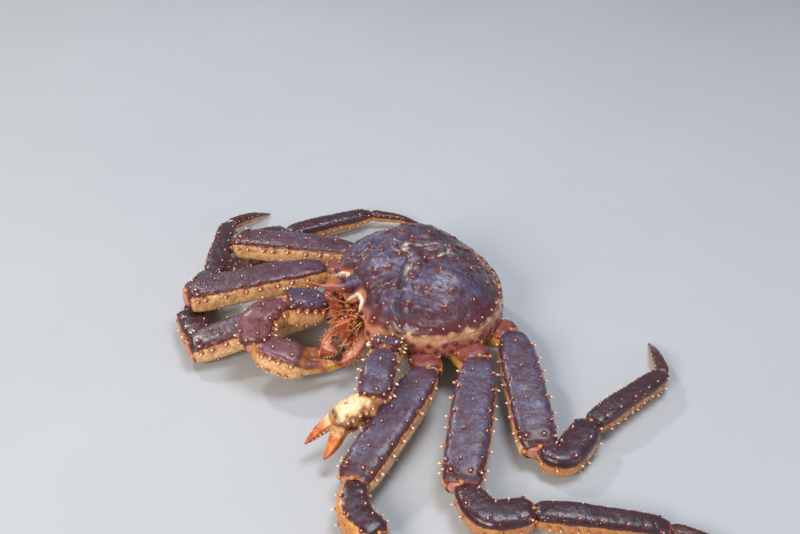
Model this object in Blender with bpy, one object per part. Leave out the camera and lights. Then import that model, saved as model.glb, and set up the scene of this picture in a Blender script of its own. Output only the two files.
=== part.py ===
"""Red king crab, life size, resting on its belly with its legs folded round it.

Metres, +Z up. The crab faces -Y, its left side is +X, and the floor is z = 0.
Each part of the body is one closed solid. A part is first a smooth form, cut clear of the
parts before it, and then its spines are fused to it.
"""

import math
import random

import bmesh
import bpy
from mathutils import Vector
from mathutils.bvhtree import BVHTree

MM = 0.001
UP = Vector((0, 0, 1))
SEAM = 0.35 * MM  # gap between neighbouring parts
PATH_POINTS = 21  # on each centre line

# The shell of the back
SHELL_WIDTH = 210 * MM
SHELL_TOP = 105 * MM
SHELL_MARGIN = 63 * MM  # height at which the back turns over into the side wall
SHELL_UNDERSIDE = 36 * MM
SHELL_REAR_DROP = 9 * MM  # how much lower the back ends than it starts
# Radius of the shell's outline, as a share of half its width, by the angle from the front.
SHELL_OUTLINE = (
    (0, 0.80), (20, 0.82), (38, 0.87), (60, 0.92), (85, 0.98),
    (105, 1.00), (130, 0.95), (155, 0.88), (180, 0.83),
)
# Swellings of the back, and a hollow: side offset, place along Y, half width, half length, height
SHELL_LOBES = (
    (0, -34 * MM, 27 * MM, 30 * MM, 9 * MM),
    (50 * MM, 28 * MM, 30 * MM, 40 * MM, 9 * MM),
    (0, 38 * MM, 15 * MM, 16 * MM, 4 * MM),
    (55 * MM, -38 * MM, 20 * MM, 20 * MM, 4 * MM),
    (16 * MM, 6 * MM, 12 * MM, 7 * MM, -4 * MM),
)
LOBE_ROOM = 6 * MM  # by which the dome stays below the top, for the swellings
SHELL_SPOKES = 40
MOUTH_HALF_WIDTH = 31 * MM
MOUTH_TOP = 60 * MM
MOUTH_FLOOR = 34 * MM

# Below the shell. Paths are (x, y, z) in millimetres, half sizes are (width, thickness).
STERNUM_PATH = ((0, -64, 24), (0, 0, 24), (0, 84, 24))
STERNUM_HALF = (52 * MM, 11.7 * MM)
STERNUM_PROFILE = (
    (0, 0.5, 0.7), (0.1, 0.68, 1), (0.35, 0.9, 1), (0.65, 1, 1), (0.9, 0.8, 1), (1, 0.6, 0.7),
)
ABDOMEN_PATH = ((0, -36, 4), (0, 10, 4), (0, 70, 4))
ABDOMEN_HALF = (40 * MM, 7.6 * MM)
ABDOMEN_PROFILE = (
    (0, 0.25, 0.8), (0.12, 0.5, 1), (0.4, 0.85, 1), (0.75, 1, 1), (0.93, 0.8, 1), (1, 0.5, 0.8),
)

# The face. Paths on the left side are mirrored for the right one, except of feelers and jaws.
MOUTH_FRAME_PATH = ((0, -40, 42), (0, -62, 42), (0, -76, 42))
MOUTH_FRAME_HALF = (25 * MM, 15 * MM)
EYE_PATH = ((9, -68, 51), (12, -80, 56), (15, -90, 61))
EYE_HALF = (4 * MM, 4 * MM)
EYE_PROFILE = ((0, 0.7, 0.7), (0.5, 0.6, 0.6), (0.66, 1, 1), (0.88, 0.9, 0.9), (1, 0.4, 0.4))
ANTENNULE_PATH = ((7, -68, 50), (8, -88, 54), (9, -102, 66))
ANTENNULE_HALF = (2.2 * MM, 2.2 * MM)
ANTENNA_PATHS = {
    "left": ((20, -68, 47), (30, -88, 52), (40, -106, 55), (58, -124, 52), (74, -136, 44)),
    "right": ((-20, -68, 47), (-27, -86, 54), (-33, -100, 60), (-40, -112, 62), (-48, -122, 60)),
}
ANTENNA_HALF = (4.2 * MM, 3.6 * MM)
ANTENNA_PROFILE = (
    (0, 1, 1), (0.3, 0.85, 0.85), (0.42, 0.5, 0.5), (0.5, 0.25, 0.28), (0.75, 0.2, 0.22), (1, 0.1, 0.1),
)
MAXILLIPED_PATHS = {
    "left": ((16, -62, 33), (40, -74, 34), (56, -86, 34), (64, -96, 33), (66, -106, 30)),
    "right": ((-8, -62, 33), (8, -90, 31), (20, -106, 31), (36, -114, 29), (46, -106, 26)),
}
MAXILLIPED_HALF = (6 * MM, 5 * MM)
MAXILLIPED_PROFILE = (
    (0, 1, 1), (0.3, 1, 1), (0.55, 0.85, 0.85), (0.75, 1, 1), (0.9, 0.75, 0.75), (1, 0.4, 0.4),
)

# Walking legs: lengths and half sizes of a full-size leg
MERUS = 160 * MM
CARPUS = 68 * MM
PROPODUS = 120 * MM
DACTYLUS = 72 * MM
MERUS_HALF = (21 * MM, 14 * MM)
CARPUS_HALF = (16.5 * MM, 12.5 * MM)
PROPODUS_HALF = (13 * MM, 11 * MM)
DACTYLUS_HALF = (7 * MM, 6.5 * MM)
BASE_HALF = (17 * MM, 12 * MM)
MERUS_ARCH = 2 * MM  # how far the middle of a piece stands over the line between its ends
PROPODUS_ARCH = 1.5 * MM
DACTYLUS_ARCH = 3 * MM
TIP_HEIGHT = 2.2 * MM  # of a dactylus' centre line over the floor, at its tip

# Claws
FIXED_FINGER_SINK = 12 * MM  # how far a finger's root lies back from the knuckle
MOVING_FINGER_SINK = 3 * MM
FINGER_SPREAD = 0.48  # of a finger's root from the middle of the palm, as a share of its half width
FINGER_BOW = 0.28

# Spines by piece: degrees round it, count, length and root radius in millimetres, first and last share
MERUS_SPINES = ((6, 9, 4.6, 2.2), (174, 9, 4.6, 2.2), (52, 5, 3.2, 1.8), (128, 5, 3.2, 1.8))
CARPUS_SPINES = ((10, 4, 4.4, 2.1), (170, 4, 4.4, 2.1), (90, 3, 3.5, 1.9))
PROPODUS_SPINES = ((20, 7, 3.4, 1.7), (160, 7, 3.4, 1.7), (90, 4, 3, 1.6))
CLAW_ARM_SPINES = (
    (40, 4, 5.5, 2.4), (90, 3, 5, 2.2), (140, 4, 5.5, 2.4), (5, 4, 6.5, 2.6), (175, 4, 6.5, 2.6),
)
PALM_SPINES = ((8, 5, 5, 2.3), (172, 5, 5, 2.3), (60, 4, 4, 2), (120, 4, 4, 2))
FINGER_SPINES = ((90, 3, 2.6, 1.4, 0.12, 0.6),)
# Spines of the back in millimetres. Rings: share of the radius, step and first angle, length
MARGIN_STEP = 12
MARGIN_SPINE = (7.5, 2.6)
BACK_RINGS = ((0.78, 24, 6, 5), (0.58, 30, 15, 5.5), (0.36, 45, 8, 6), (0.16, 120, 60, 6))
BACK_SPINE_RADIUS = 2.3
WALL_STEP = 15
WALL_SPINE = (4, 2)
# Place, bearing, rise, length and radius. The brow's are for the left side.
ROSTRUM_SPINES = (((0, 4, 5), 0, 62, 13, 3), ((-9, 6, 1), -32, 26, 13, 3), ((9, 6, 1), 32, 26, 13, 3))
BROW_SPINES = (((24, -73, 71), 26, 22, 12, 3.2), ((46, -66, 66), 42, 18, 10, 3))

PURPLE = (0.115, 0.045, 0.075)
MAROON = (0.16, 0.045, 0.04)
CREAM = (0.72, 0.52, 0.27)
ORANGE = (0.66, 0.19, 0.07)
EYE_BLACK = (0.03, 0.02, 0.02)
SPINE_SEED = 7
SPINE_SINK = 2.4 * MM  # how far a spine's root goes below the surface
SPINE_ROOM = 0.8 * MM  # least room between a spine and another part


def heading(bearing, rise=0.0):
    """Unit vector: bearing in degrees from the front towards the left, and rise over level."""
    turn, lift = math.radians(bearing), math.radians(rise)
    level = math.cos(lift)
    return Vector((math.sin(turn) * level, -math.cos(turn) * level, math.sin(lift)))


def place(x, y, z):
    """A point given in millimetres."""
    return Vector((x, y, z)) * MM


def path(points, side=1):
    """Points given in millimetres, or their mirror image for side -1."""
    return [place(x * side, y, z) for x, y, z in points]


def smooth_through(table, at):
    """Value at a place in a table of (place, value), on a smooth curve through its rows."""
    places = [row[0] for row in table]
    values = [row[1] for row in table]
    last = len(table) - 1
    at = min(max(at, places[0]), places[-1])
    i = max(k for k in range(last) if places[k] <= at or k == 0)

    def slope(k):
        before, after = max(k - 1, 0), min(k + 1, last)
        return (values[after] - values[before]) / (places[after] - places[before])

    span = places[i + 1] - places[i]
    u = (at - places[i]) / span
    rise_in, rise_out = slope(i) * span, slope(i + 1) * span
    step = values[i + 1] - values[i]
    return values[i] + u * rise_in + u * u * (3 * step - 2 * rise_in - rise_out) + u**3 * (
        rise_in + rise_out - 2 * step
    )


def curve_through(points, count):
    """Points on a smooth curve through the given ones, evenly spread between the first and the last."""
    rows = range(len(points))
    last = len(points) - 1
    axes = [tuple((k, points[k][axis]) for k in rows) for axis in range(3)]
    return [
        Vector(smooth_through(axes[axis], last * n / (count - 1)) for axis in range(3))
        for n in range(count)
    ]


# Meshes


def mesh_object(name, points, faces):
    mesh = bpy.data.meshes.new(name)
    mesh.from_pydata([tuple(p) for p in points], [], faces)
    bm = bmesh.new()
    bm.from_mesh(mesh)
    bmesh.ops.triangulate(bm, faces=bm.faces)
    bmesh.ops.recalc_face_normals(bm, faces=bm.faces)
    bm.to_mesh(mesh)
    bm.free()
    obj = bpy.data.objects.new(name, mesh)
    bpy.context.scene.collection.objects.link(obj)
    return obj


def skin_rings(name, rings):
    """One closed mesh through rings of equal size, with a flat cap on each end."""
    count = len(rings[0])
    points = [p for ring in rings for p in ring]
    faces = [list(range(count))[::-1], [len(points) - count + k for k in range(count)]]
    for r in range(len(rings) - 1):
        for k in range(count):
            a, b = r * count + k, r * count + (k + 1) % count
            faces.append([a, b, b + count, a + count])
    return mesh_object(name, points, faces)


def remove(obj):
    mesh = obj.data
    bpy.data.objects.remove(obj)
    bpy.data.meshes.remove(mesh)


def keep_largest(mesh):
    """Drops every closed surface but the largest, such as a scrap that a cut leaves."""
    bm = bmesh.new()
    bm.from_mesh(mesh)
    left, islands = set(bm.faces), []
    while left:
        todo, island = [left.pop()], []
        while todo:
            face = todo.pop()
            island.append(face)
            near = {other for edge in face.edges for other in edge.link_faces} & left
            left -= near
            todo += near
        islands.append(island)
    islands.sort(key=lambda island: sum(face.calc_area() for face in island))
    for island in islands[:-1]:
        bmesh.ops.delete(bm, geom=island, context="FACES")
    bm.to_mesh(mesh)
    bm.free()


def apply_boolean(obj, operation, others):
    """Cuts the others from the object, or joins them to it, and removes them."""
    group = bpy.data.collections.new("cutters")
    bpy.context.scene.collection.children.link(group)
    for other in others:
        bpy.context.scene.collection.objects.unlink(other)
        group.objects.link(other)
    modifier = obj.modifiers.new("fit", "BOOLEAN")
    modifier.operation = operation
    modifier.operand_type = "COLLECTION"
    modifier.collection = group
    modifier.solver = "EXACT"
    graph = bpy.context.evaluated_depsgraph_get()
    mesh = bpy.data.meshes.new_from_object(obj.evaluated_get(graph))
    obj.modifiers.clear()
    old, obj.data = obj.data, mesh
    bpy.data.meshes.remove(old)
    for other in others:
        remove(other)
    bpy.data.collections.remove(group)
    keep_largest(mesh)


# Forms. Each takes grow, by which it is made larger all round to cut its neighbours clear.


class Limb:
    """A piece with a curved centre line, whose sections are rounded boxes.

    profile rows are (share of the length, half width, half thickness), as shares of half.
    """

    def __init__(self, points, half, profile, sides=12, boxy=0.8):
        self.profile = profile
        self.half = half
        self.sides = sides
        self.boxy = boxy
        self.path = curve_through(points, PATH_POINTS)

    def centre(self, share):
        at = share * (len(self.path) - 1)
        k = min(int(at), len(self.path) - 2)
        return self.path[k].lerp(self.path[k + 1], at - k)

    def axes(self, share):
        """Along, across and up at a share of the length."""
        near = 0.02
        ahead = self.centre(min(share + near, 1)) - self.centre(max(share - near, 0))
        along = ahead.normalized()
        across = along.cross(UP).normalized()
        return along, across, across.cross(along)

    def halves(self, share):
        wide = smooth_through([(row[0], row[1]) for row in self.profile], share)
        thick = smooth_through([(row[0], row[2]) for row in self.profile], share)
        return wide * self.half[0], thick * self.half[1]

    def section(self, turn):
        c, s = math.cos(turn), math.sin(turn)
        return (
            math.copysign(abs(c) ** self.boxy, c),
            math.copysign(abs(s) ** self.boxy, s),
        )

    def surface(self, share, degrees):
        """Point on the surface and the way it faces.

        Seen from the root, 0 degrees is the right edge and 90 the top.
        """
        _, across, up = self.axes(share)
        wide, thick = self.halves(share)
        x, y = self.section(math.radians(degrees))
        x0, y0 = self.section(math.radians(degrees - 4))
        x1, y1 = self.section(math.radians(degrees + 4))
        out = across * (y1 - y0) * thick - up * (x1 - x0) * wide
        return self.centre(share) + across * x * wide + up * y * thick, out.normalized()

    def form(self, name, grow):
        rings = []
        first, last = self.profile[0][0], self.profile[-1][0]
        for share, _, _ in self.profile:
            along, across, up = self.axes(share)
            wide, thick = self.halves(share)
            centre = self.centre(share)
            if share == first:
                centre = centre - along * grow
            if share == last:
                centre = centre + along * grow
            ring = []
            for k in range(self.sides):
                x, y = self.section(2 * math.pi * (k + 0.5) / self.sides)
                ring.append(centre + across * x * (wide + grow) + up * y * (thick + grow))
            rings.append(ring)
        return skin_rings(name, rings)


class Fused:
    """Several forms that are one piece of the body, such as a palm and its fixed finger."""

    def __init__(self, *forms):
        self.forms = forms

    def form(self, name, grow):
        first, *rest = [part.form(name, grow) for part in self.forms]
        apply_boolean(first, "UNION", rest)
        return first


def shell_radius(degrees):
    share = smooth_through(SHELL_OUTLINE, abs(degrees))
    return share * SHELL_WIDTH / 2


def swelling(x, y, cx, cy, wide, long):
    return math.exp(-(((x - cx) / wide) ** 2) - ((y - cy) / long) ** 2)


def shell_height(x, y):
    """Height of the back over the floor, with its swellings and the grooves between them."""
    degrees = math.degrees(math.atan2(abs(x), -y))
    out = min(math.hypot(x, y) / shell_radius(degrees), 1)
    dome = (1 - out**2.6) ** 0.8
    z = SHELL_MARGIN + (SHELL_TOP - SHELL_MARGIN - LOBE_ROOM) * dome
    for lobe_x, lobe_y, wide, long, height in SHELL_LOBES:
        z += height * swelling(abs(x), y, lobe_x, lobe_y, wide, long)
    return z - SHELL_REAR_DROP * max(y / shell_radius(180), 0) ** 1.5


class Shell:
    """The carapace: a dome over a side wall, flat below, with the mouth's recess in front."""

    top_rings = (0.12, 0.25, 0.38, 0.51, 0.64, 0.76, 0.86, 0.94)
    # Rows of the margin and side wall: share of the outline's radius, height
    wall = (
        (1.0, SHELL_MARGIN),
        (1.02, 54 * MM),
        (1.035, 46 * MM),
        (1.0, SHELL_UNDERSIDE + 2 * MM),
        (0.97, SHELL_UNDERSIDE),
    )

    def form(self, name, grow):
        angles = [360 * (k + 0.5) / SHELL_SPOKES - 180 for k in range(SHELL_SPOKES)]
        points, faces = [], []
        for ring in self.top_rings:
            for degrees in angles:
                r = ring * shell_radius(degrees)
                x, y = r * math.sin(math.radians(degrees)), -r * math.cos(math.radians(degrees))
                points.append((x, y, shell_height(x, y) + grow))
        for share, z in self.wall:
            lift = -grow if z <= SHELL_UNDERSIDE + 2 * MM else 0
            for degrees in angles:
                r = share * shell_radius(degrees) + grow
                x, y = r * math.sin(math.radians(degrees)), -r * math.cos(math.radians(degrees))
                points.append((x, y, z + lift))
        rows = len(self.top_rings) + len(self.wall)
        for r in range(rows - 1):
            for k in range(SHELL_SPOKES):
                a, b = r * SHELL_SPOKES + k, r * SHELL_SPOKES + (k + 1) % SHELL_SPOKES
                faces.append([a, b, b + SHELL_SPOKES, a + SHELL_SPOKES])
        centre = len(points)
        points.append((0, 0, shell_height(0, 0) + grow))
        points.append((0, 0, SHELL_UNDERSIDE - grow))
        under = (rows - 1) * SHELL_SPOKES
        for k in range(SHELL_SPOKES):
            after = (k + 1) % SHELL_SPOKES
            faces.append([centre, after, k])
            faces.append([centre + 1, under + k, under + after])
        shell = mesh_object(name, points, faces)
        rostrum = ROSTRUM.form("rostrum", grow)
        apply_boolean(shell, "UNION", [rostrum])
        mouth = MOUTH_RECESS.form("mouth", -grow)
        apply_boolean(shell, "DIFFERENCE", [mouth])
        return shell


# Profiles

ROUND_ENDS = (
    (0, 0.55, 0.55), (0.08, 0.85, 0.85), (0.25, 1, 1), (0.75, 1, 1), (0.92, 0.85, 0.85), (1, 0.55, 0.55),
)
MERUS_PROFILE = (
    (0, 0.46, 0.55), (0.04, 0.66, 0.80), (0.12, 0.86, 0.95), (0.3, 1, 1), (0.6, 1.02, 1),
    (0.86, 0.98, 1), (0.96, 0.90, 0.94), (1, 0.74, 0.72),
)
CARPUS_PROFILE = (
    (0, 0.5, 0.55), (0.12, 0.8, 0.85), (0.4, 1, 1), (0.75, 1.02, 1), (0.94, 0.88, 0.9), (1, 0.66, 0.68),
)
PROPODUS_PROFILE = (
    (0, 0.55, 0.6), (0.06, 0.86, 0.9), (0.25, 1, 1), (0.6, 0.92, 0.9), (0.9, 0.84, 0.82), (1, 0.55, 0.55),
)
DACTYLUS_PROFILE = (
    (0, 0.6, 0.6), (0.08, 1, 1), (0.35, 0.86, 0.9), (0.65, 0.62, 0.66), (0.88, 0.34, 0.36), (1, 0.12, 0.14),
)
BASE_PROFILE = (
    (0, 0.8, 0.8), (0.3, 1, 1), (0.55, 0.86, 0.95), (0.7, 1, 1), (0.92, 1, 0.96), (1, 0.78, 0.74),
)
PALM_PROFILE = ((0, 0.5, 0.6), (0.14, 0.82, 0.86), (0.5, 1, 1), (0.85, 0.98, 0.96), (1, 0.8, 0.8))
TAPER = ((0, 1, 1), (0.35, 0.8, 0.8), (0.7, 0.5, 0.5), (1, 0.16, 0.16))

ROSTRUM = Limb(path(((0, -66, 78), (0, -84, 77), (0, -104, 82))), (11 * MM, 8 * MM), TAPER, sides=8)
MOUTH_RECESS = Limb(
    path(((0, -130, 34), (0, -96, 34), (0, -60, 34))),
    (MOUTH_HALF_WIDTH, MOUTH_TOP - MOUTH_FLOOR),
    ((0, 1.3, 1.05), (0.5, 1.06, 1), (0.85, 1, 0.96), (1, 0.84, 0.84)),
    sides=16,
)


# Spines


class Row:
    """A row of spines along a limb, at an angle round it. Lengths and radii are in millimetres."""

    def __init__(self, degrees, count, length, radius, first=0.1, last=0.9):
        self.degrees = degrees
        self.count = count
        self.length = length * MM
        self.radius = radius * MM
        self.first = first
        self.last = last

    def roots(self, limb, draw):
        """(point, direction, length, radius) of each spine."""
        for k in range(self.count):
            step = (k + draw.uniform(0.3, 0.7)) / self.count
            share = self.first + (self.last - self.first) * step
            point, out = limb.surface(share, self.degrees + draw.uniform(-5, 5))
            along = limb.axes(share)[0]
            lean = (out + along * draw.uniform(0.1, 0.4)).normalized()
            size = draw.uniform(0.8, 1.15)
            yield point, lean, self.length * size, self.radius * (0.6 + 0.4 * size)


def shell_spines(draw):
    """Spines of the back: round the margin, over the swellings, and on the side wall."""
    for degrees in range(-174, 180, MARGIN_STEP):
        if abs(degrees) < 30:
            continue
        r = shell_radius(degrees) * draw.uniform(0.94, 0.97)
        yield shell_spine(r, degrees, *MARGIN_SPINE, 1.0, draw)
    for share, step, start, length in BACK_RINGS:
        for degrees in range(start - 180, 180, step):
            r = shell_radius(degrees) * share * draw.uniform(0.94, 1.06)
            yield shell_spine(r, degrees + draw.uniform(-5, 5), length, BACK_SPINE_RADIUS, 0.25, draw)
    length, radius = WALL_SPINE
    for degrees in range(-165, 180, WALL_STEP):
        if abs(degrees) < 45:
            continue
        turn = math.radians(degrees + draw.uniform(-3, 3))
        r = shell_radius(degrees) * 1.03
        level = Vector((math.sin(turn), -math.cos(turn), 0))
        root = level * r + UP * draw.uniform(45, 52) * MM
        yield root, (level + UP * 0.2).normalized(), length * MM, radius * MM


def shell_spine(r, degrees, length, radius, outward, draw):
    turn = math.radians(degrees)
    x, y = r * math.sin(turn), -r * math.cos(turn)
    level = Vector((math.sin(turn), -math.cos(turn), 0))
    lean = (UP + level * outward + heading(draw.uniform(0, 360)) * 0.1).normalized()
    size = draw.uniform(0.8, 1.2)
    return Vector((x, y, shell_height(x, y))), lean, length * size * MM, radius * MM


def front_spines():
    """Spines of the rostrum and of the brow on each side of it."""
    stem = ROSTRUM.centre(0.55)
    for spot, bearing, rise, length, radius in ROSTRUM_SPINES:
        yield stem + place(*spot), heading(bearing, rise), length * MM, radius * MM
    for side in (-1, 1):
        for (x, y, z), bearing, rise, length, radius in BROW_SPINES:
            yield place(x * side, y, z), heading(bearing * side, rise), length * MM, radius * MM


def all_shell_spines(draw):
    yield from front_spines()
    yield from shell_spines(draw)


def spine(root, lean, length, radius):
    """A cone of five sides, sunk well below the surface."""
    sides = 5
    across = lean.orthogonal().normalized()
    other = lean.cross(across)
    flare = 1 + SPINE_SINK / (2 * length)
    foot = root - lean * SPINE_SINK
    ring = []
    for k in range(sides):
        turn = 2 * math.pi * k / sides
        ring.append(foot + (across * math.cos(turn) + other * math.sin(turn)) * radius * flare)
    faces = [[4, 3, 2, 1, 0]] + [[k, (k + 1) % sides, sides] for k in range(sides)]
    return mesh_object("spine", ring + [root + lean * length], faces)


# The parts: name, form, colour and spines


class Part:
    def __init__(self, name, form, colour, spines=None):
        self.name = name
        self.form = form
        self.colour = colour
        self.spines = spines
        self.object = None
        self.cutter = None

    def box(self, margin=0.0):
        points = [v.co for v in self.object.data.vertices]
        low = [min(p[k] for p in points) - margin for k in range(3)]
        high = [max(p[k] for p in points) + margin for k in range(3)]
        return low, high

    def near(self, other):
        low, high = self.box(1 * MM)
        low2, high2 = other.box()
        return all(low[k] < high2[k] and low2[k] < high[k] for k in range(3))


def rows_on(limb, rows):
    def spines(draw):
        for row in rows:
            yield from Row(*row).roots(limb, draw)

    return spines


def body_parts():
    sternum = Limb(path(STERNUM_PATH), STERNUM_HALF, STERNUM_PROFILE, boxy=0.45)
    abdomen = Limb(path(ABDOMEN_PATH), ABDOMEN_HALF, ABDOMEN_PROFILE, boxy=0.5)
    mouth_frame = Limb(path(MOUTH_FRAME_PATH), MOUTH_FRAME_HALF, ROUND_ENDS)
    return [
        Part("carapace", Shell(), PURPLE, all_shell_spines),
        Part("sternum", sternum, CREAM),
        Part("abdomen", abdomen, CREAM),
        Part("mouth_frame", mouth_frame, ORANGE),
    ]


def face_parts():
    parts = []
    for side, name in ((1, "left"), (-1, "right")):
        eye = Limb(path(EYE_PATH, side), EYE_HALF, EYE_PROFILE, sides=8)
        antennule = Limb(path(ANTENNULE_PATH, side), ANTENNULE_HALF, TAPER, sides=6)
        parts.append(Part("eye_" + name, eye, EYE_BLACK))
        parts.append(Part("antennule_" + name, antennule, ORANGE))
    for name, points in ANTENNA_PATHS.items():
        feeler = Limb(path(points), ANTENNA_HALF, ANTENNA_PROFILE, sides=6)
        parts.append(Part("antenna_" + name, feeler, ORANGE))
    for name, points in MAXILLIPED_PATHS.items():
        jaw = Limb(path(points), MAXILLIPED_HALF, MAXILLIPED_PROFILE, sides=8)
        parts.append(Part("maxilliped_" + name, jaw, ORANGE))
    return parts


class Claw:
    """A claw arm: its joints' places and the tips of its fingers, and the half sizes of its pieces."""

    def __init__(self, name, joints, tips, sizes):
        self.name = name
        self.joints = path(joints)
        self.tips = path(tips)
        self.sizes = [(wide * MM, thick * MM) for wide, thick in sizes]

    def parts(self):
        root, shoulder, elbow, wrist, knuckle = self.joints
        arm, fore, palm, finger = self.sizes
        base = Limb([root, root.lerp(shoulder, 0.5), shoulder], arm, BASE_PROFILE, sides=10)
        merus = Limb([shoulder, shoulder.lerp(elbow, 0.5), elbow], arm, CARPUS_PROFILE)
        swing = (elbow - shoulder).normalized() * 0.22 * (wrist - elbow).length
        carpus = Limb([elbow, elbow.lerp(wrist, 0.45) + swing, wrist], fore, CARPUS_PROFILE)
        hand_way = (knuckle - wrist).normalized()
        hand = Limb([wrist, wrist.lerp(knuckle, 0.5), knuckle], palm, PALM_PROFILE)
        across = hand.axes(0.9)[1] * palm[0] * FINGER_SPREAD
        fixed_tip, moving_tip = self.tips
        fixed = self.finger_limb(knuckle - hand_way * FIXED_FINGER_SINK, fixed_tip, across, finger)
        moving = self.finger_limb(knuckle - hand_way * MOVING_FINGER_SINK, moving_tip, -across, finger)
        return [
            Part(self.name + "_base", base, CREAM),
            Part(self.name + "_merus", merus, PURPLE, rows_on(merus, CLAW_ARM_SPINES)),
            Part(self.name + "_carpus", carpus, PURPLE, rows_on(carpus, CLAW_ARM_SPINES)),
            Part(self.name + "_palm", Fused(hand, fixed), MAROON, rows_on(hand, PALM_SPINES)),
            Part(self.name + "_finger", moving, ORANGE, rows_on(moving, FINGER_SPINES)),
        ]

    def finger_limb(self, root, tip, across, half):
        start = root + across
        bow = start.lerp(tip, 0.55) + across * FINGER_BOW
        return Limb([start, bow, tip], half, DACTYLUS_PROFILE, sides=8)


class Leg:
    """A walking leg: where it leaves the body and its merus starts, and the way each piece points.

    At an open knee the carpus swings out past the merus by bulge, as a share of its own length.
    At a folded knee it starts inset millimetres back from the end of the merus.
    """

    def __init__(self, name, root, hip, scale, ways, bulge=0.3, inset=0):
        self.name = name
        self.root = place(*root)
        self.hip = place(*hip)
        self.scale = scale
        self.ways = ways
        self.bulge = bulge
        self.inset = inset * MM

    def joints(self):
        lengths = (MERUS, CARPUS, PROPODUS, DACTYLUS)
        points = [self.hip]
        for length, way in zip(lengths, self.ways):
            points.append(points[-1] + heading(*way) * length * self.scale)
        points[-1].z = TIP_HEIGHT
        return points

    def parts(self):
        hip, knee, wrist, ankle, tip = self.joints()
        scaled = [
            (w * self.scale, t * self.scale)
            for w, t in (MERUS_HALF, CARPUS_HALF, PROPODUS_HALF, DACTYLUS_HALF, BASE_HALF)
        ]
        upper, middle, shank, toe, root_half = scaled
        base = Limb([self.root, self.root.lerp(hip, 0.5), hip], root_half, BASE_PROFILE, sides=10)
        merus = Limb([hip, hip.lerp(knee, 0.5) + UP * MERUS_ARCH, knee], upper, MERUS_PROFILE)
        thigh_way = (knee - hip).normalized()
        start = knee - thigh_way * self.inset
        push = thigh_way * self.bulge * (wrist - knee).length
        carpus = Limb([start, start.lerp(wrist, 0.42) + push, wrist], middle, CARPUS_PROFILE)
        shank_middle = wrist.lerp(ankle, 0.5) + UP * PROPODUS_ARCH
        propodus = Limb([wrist, shank_middle, ankle], shank, PROPODUS_PROFILE, sides=10)
        toe_middle = ankle.lerp(tip, 0.55) + UP * DACTYLUS_ARCH
        dactylus = Limb([ankle, toe_middle, tip], toe, DACTYLUS_PROFILE, sides=8)
        return [
            Part(self.name + "_base", base, CREAM),
            Part(self.name + "_merus", merus, PURPLE, rows_on(merus, MERUS_SPINES)),
            Part(self.name + "_carpus", carpus, PURPLE, rows_on(carpus, CARPUS_SPINES)),
            Part(self.name + "_propodus", propodus, PURPLE, rows_on(propodus, PROPODUS_SPINES)),
            Part(self.name + "_dactylus", dactylus, MAROON),
        ]


# Name, joints from root to knuckle, tips of the fixed and the moving finger, sizes
CLAWS = [
    Claw(
        "claw_right",
        ((-26, -44, 26), (-13, -100, 43), (-15, -146, 56), (26, -188, 40), (53, -146, 28)),
        ((58, -100, 19), (42, -102, 22)),
        ((19, 17), (18.5, 16), (18, 15.5), (9, 8)),
    ),
    Claw(
        "claw_left",
        ((30, -40, 26), (77, -58, 45), (103, -73, 58), (155, -101, 50), (157, -140, 36)),
        ((160, -173, 22), (182, -161, 18)),
        ((17, 15), (17, 15), (14.5, 12.5), (7.5, 6.5)),
    ),
]
# Name, root, hip, scale, bearing and rise of each piece, and how the knee bends
LEGS = [
    Leg("leg_left_1", (44, -22, 22), (122, -32, 38), 0.96, ((42, -6), (92, -3), (80, -3), (110, -9)), 0.22),
    Leg("leg_left_2", (48, 6, 22), (125, 23, 39), 1.0, ((60.5, -6), (135, -2), (155, -4), (140, -8))),
    Leg("leg_left_3", (44, 34, 22), (93, 74, 36), 0.97, ((75, -7), (194, -2), (200.5, 0), (250, -9))),
    Leg(
        "leg_right_1", (-44, -26, 22), (-30, -97, 33), 0.96,
        ((1.5, -6.5), (-98, -2), (-139, 0), (-158, -9)), 0, 13,
    ),
    Leg(
        "leg_right_2", (-48, 2, 22), (-82, -79, 42), 1.0,
        ((-2.5, -1), (-125, -15), (-111, -1), (-149, -11)), 0, 13,
    ),
    Leg(
        "leg_right_3", (-44, 34, 22), (-110, -34, 36), 0.97,
        ((-36, -4), (-173, -7), (-173, -1), (-204, -11)), 0, 13,
    ),
]


# Building


def cut_clear(part, before):
    """Cuts the part by every earlier one that it reaches, grown by the seam."""
    cutters = []
    for other in before:
        if part.near(other):
            if other.cutter is None:
                other.cutter = other.form.form("cutter", SEAM)
                bpy.context.scene.collection.objects.unlink(other.cutter)
            copy = other.cutter.copy()
            copy.data = other.cutter.data.copy()
            bpy.context.scene.collection.objects.link(copy)
            cutters.append(copy)
    if cutters:
        apply_boolean(part.object, "DIFFERENCE", cutters)


def rest_on_floor(mesh):
    for vertex in mesh.vertices:
        vertex.co.z = max(vertex.co.z, 0)


def clear_spines(part, parts, trees, taken, draw):
    """The part's spines that cross neither another part, nor another part's spine, nor the floor."""
    low, high = part.box(12 * MM)
    others = []
    for other in parts:
        low2, high2 = other.box()
        if other is not part and all(low[k] < high2[k] and low2[k] < high[k] for k in range(3)):
            others.append(trees[other.name])
    kept = []
    for root, lean, length, radius in part.spines(draw):
        if (root + lean * length).z < 1 * MM or root.z < 3 * MM:
            continue
        samples = [root - lean * SPINE_SINK] + [root + lean * length * k / 4 for k in range(5)]
        rooms = [radius * 1.4 + SPINE_ROOM] + [radius * (1 - k / 4) + SPINE_ROOM for k in range(5)]
        fits = all(clear_of(tree, p, room) for tree in others for p, room in zip(samples, rooms))
        apart = all((p - q).length > 2.5 * MM for name, q in taken if name != part.name for p in samples)
        if fits and apart:
            kept.append(spine(root, lean, length, radius))
            taken += [(part.name, p) for p in samples]
    return kept


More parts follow.
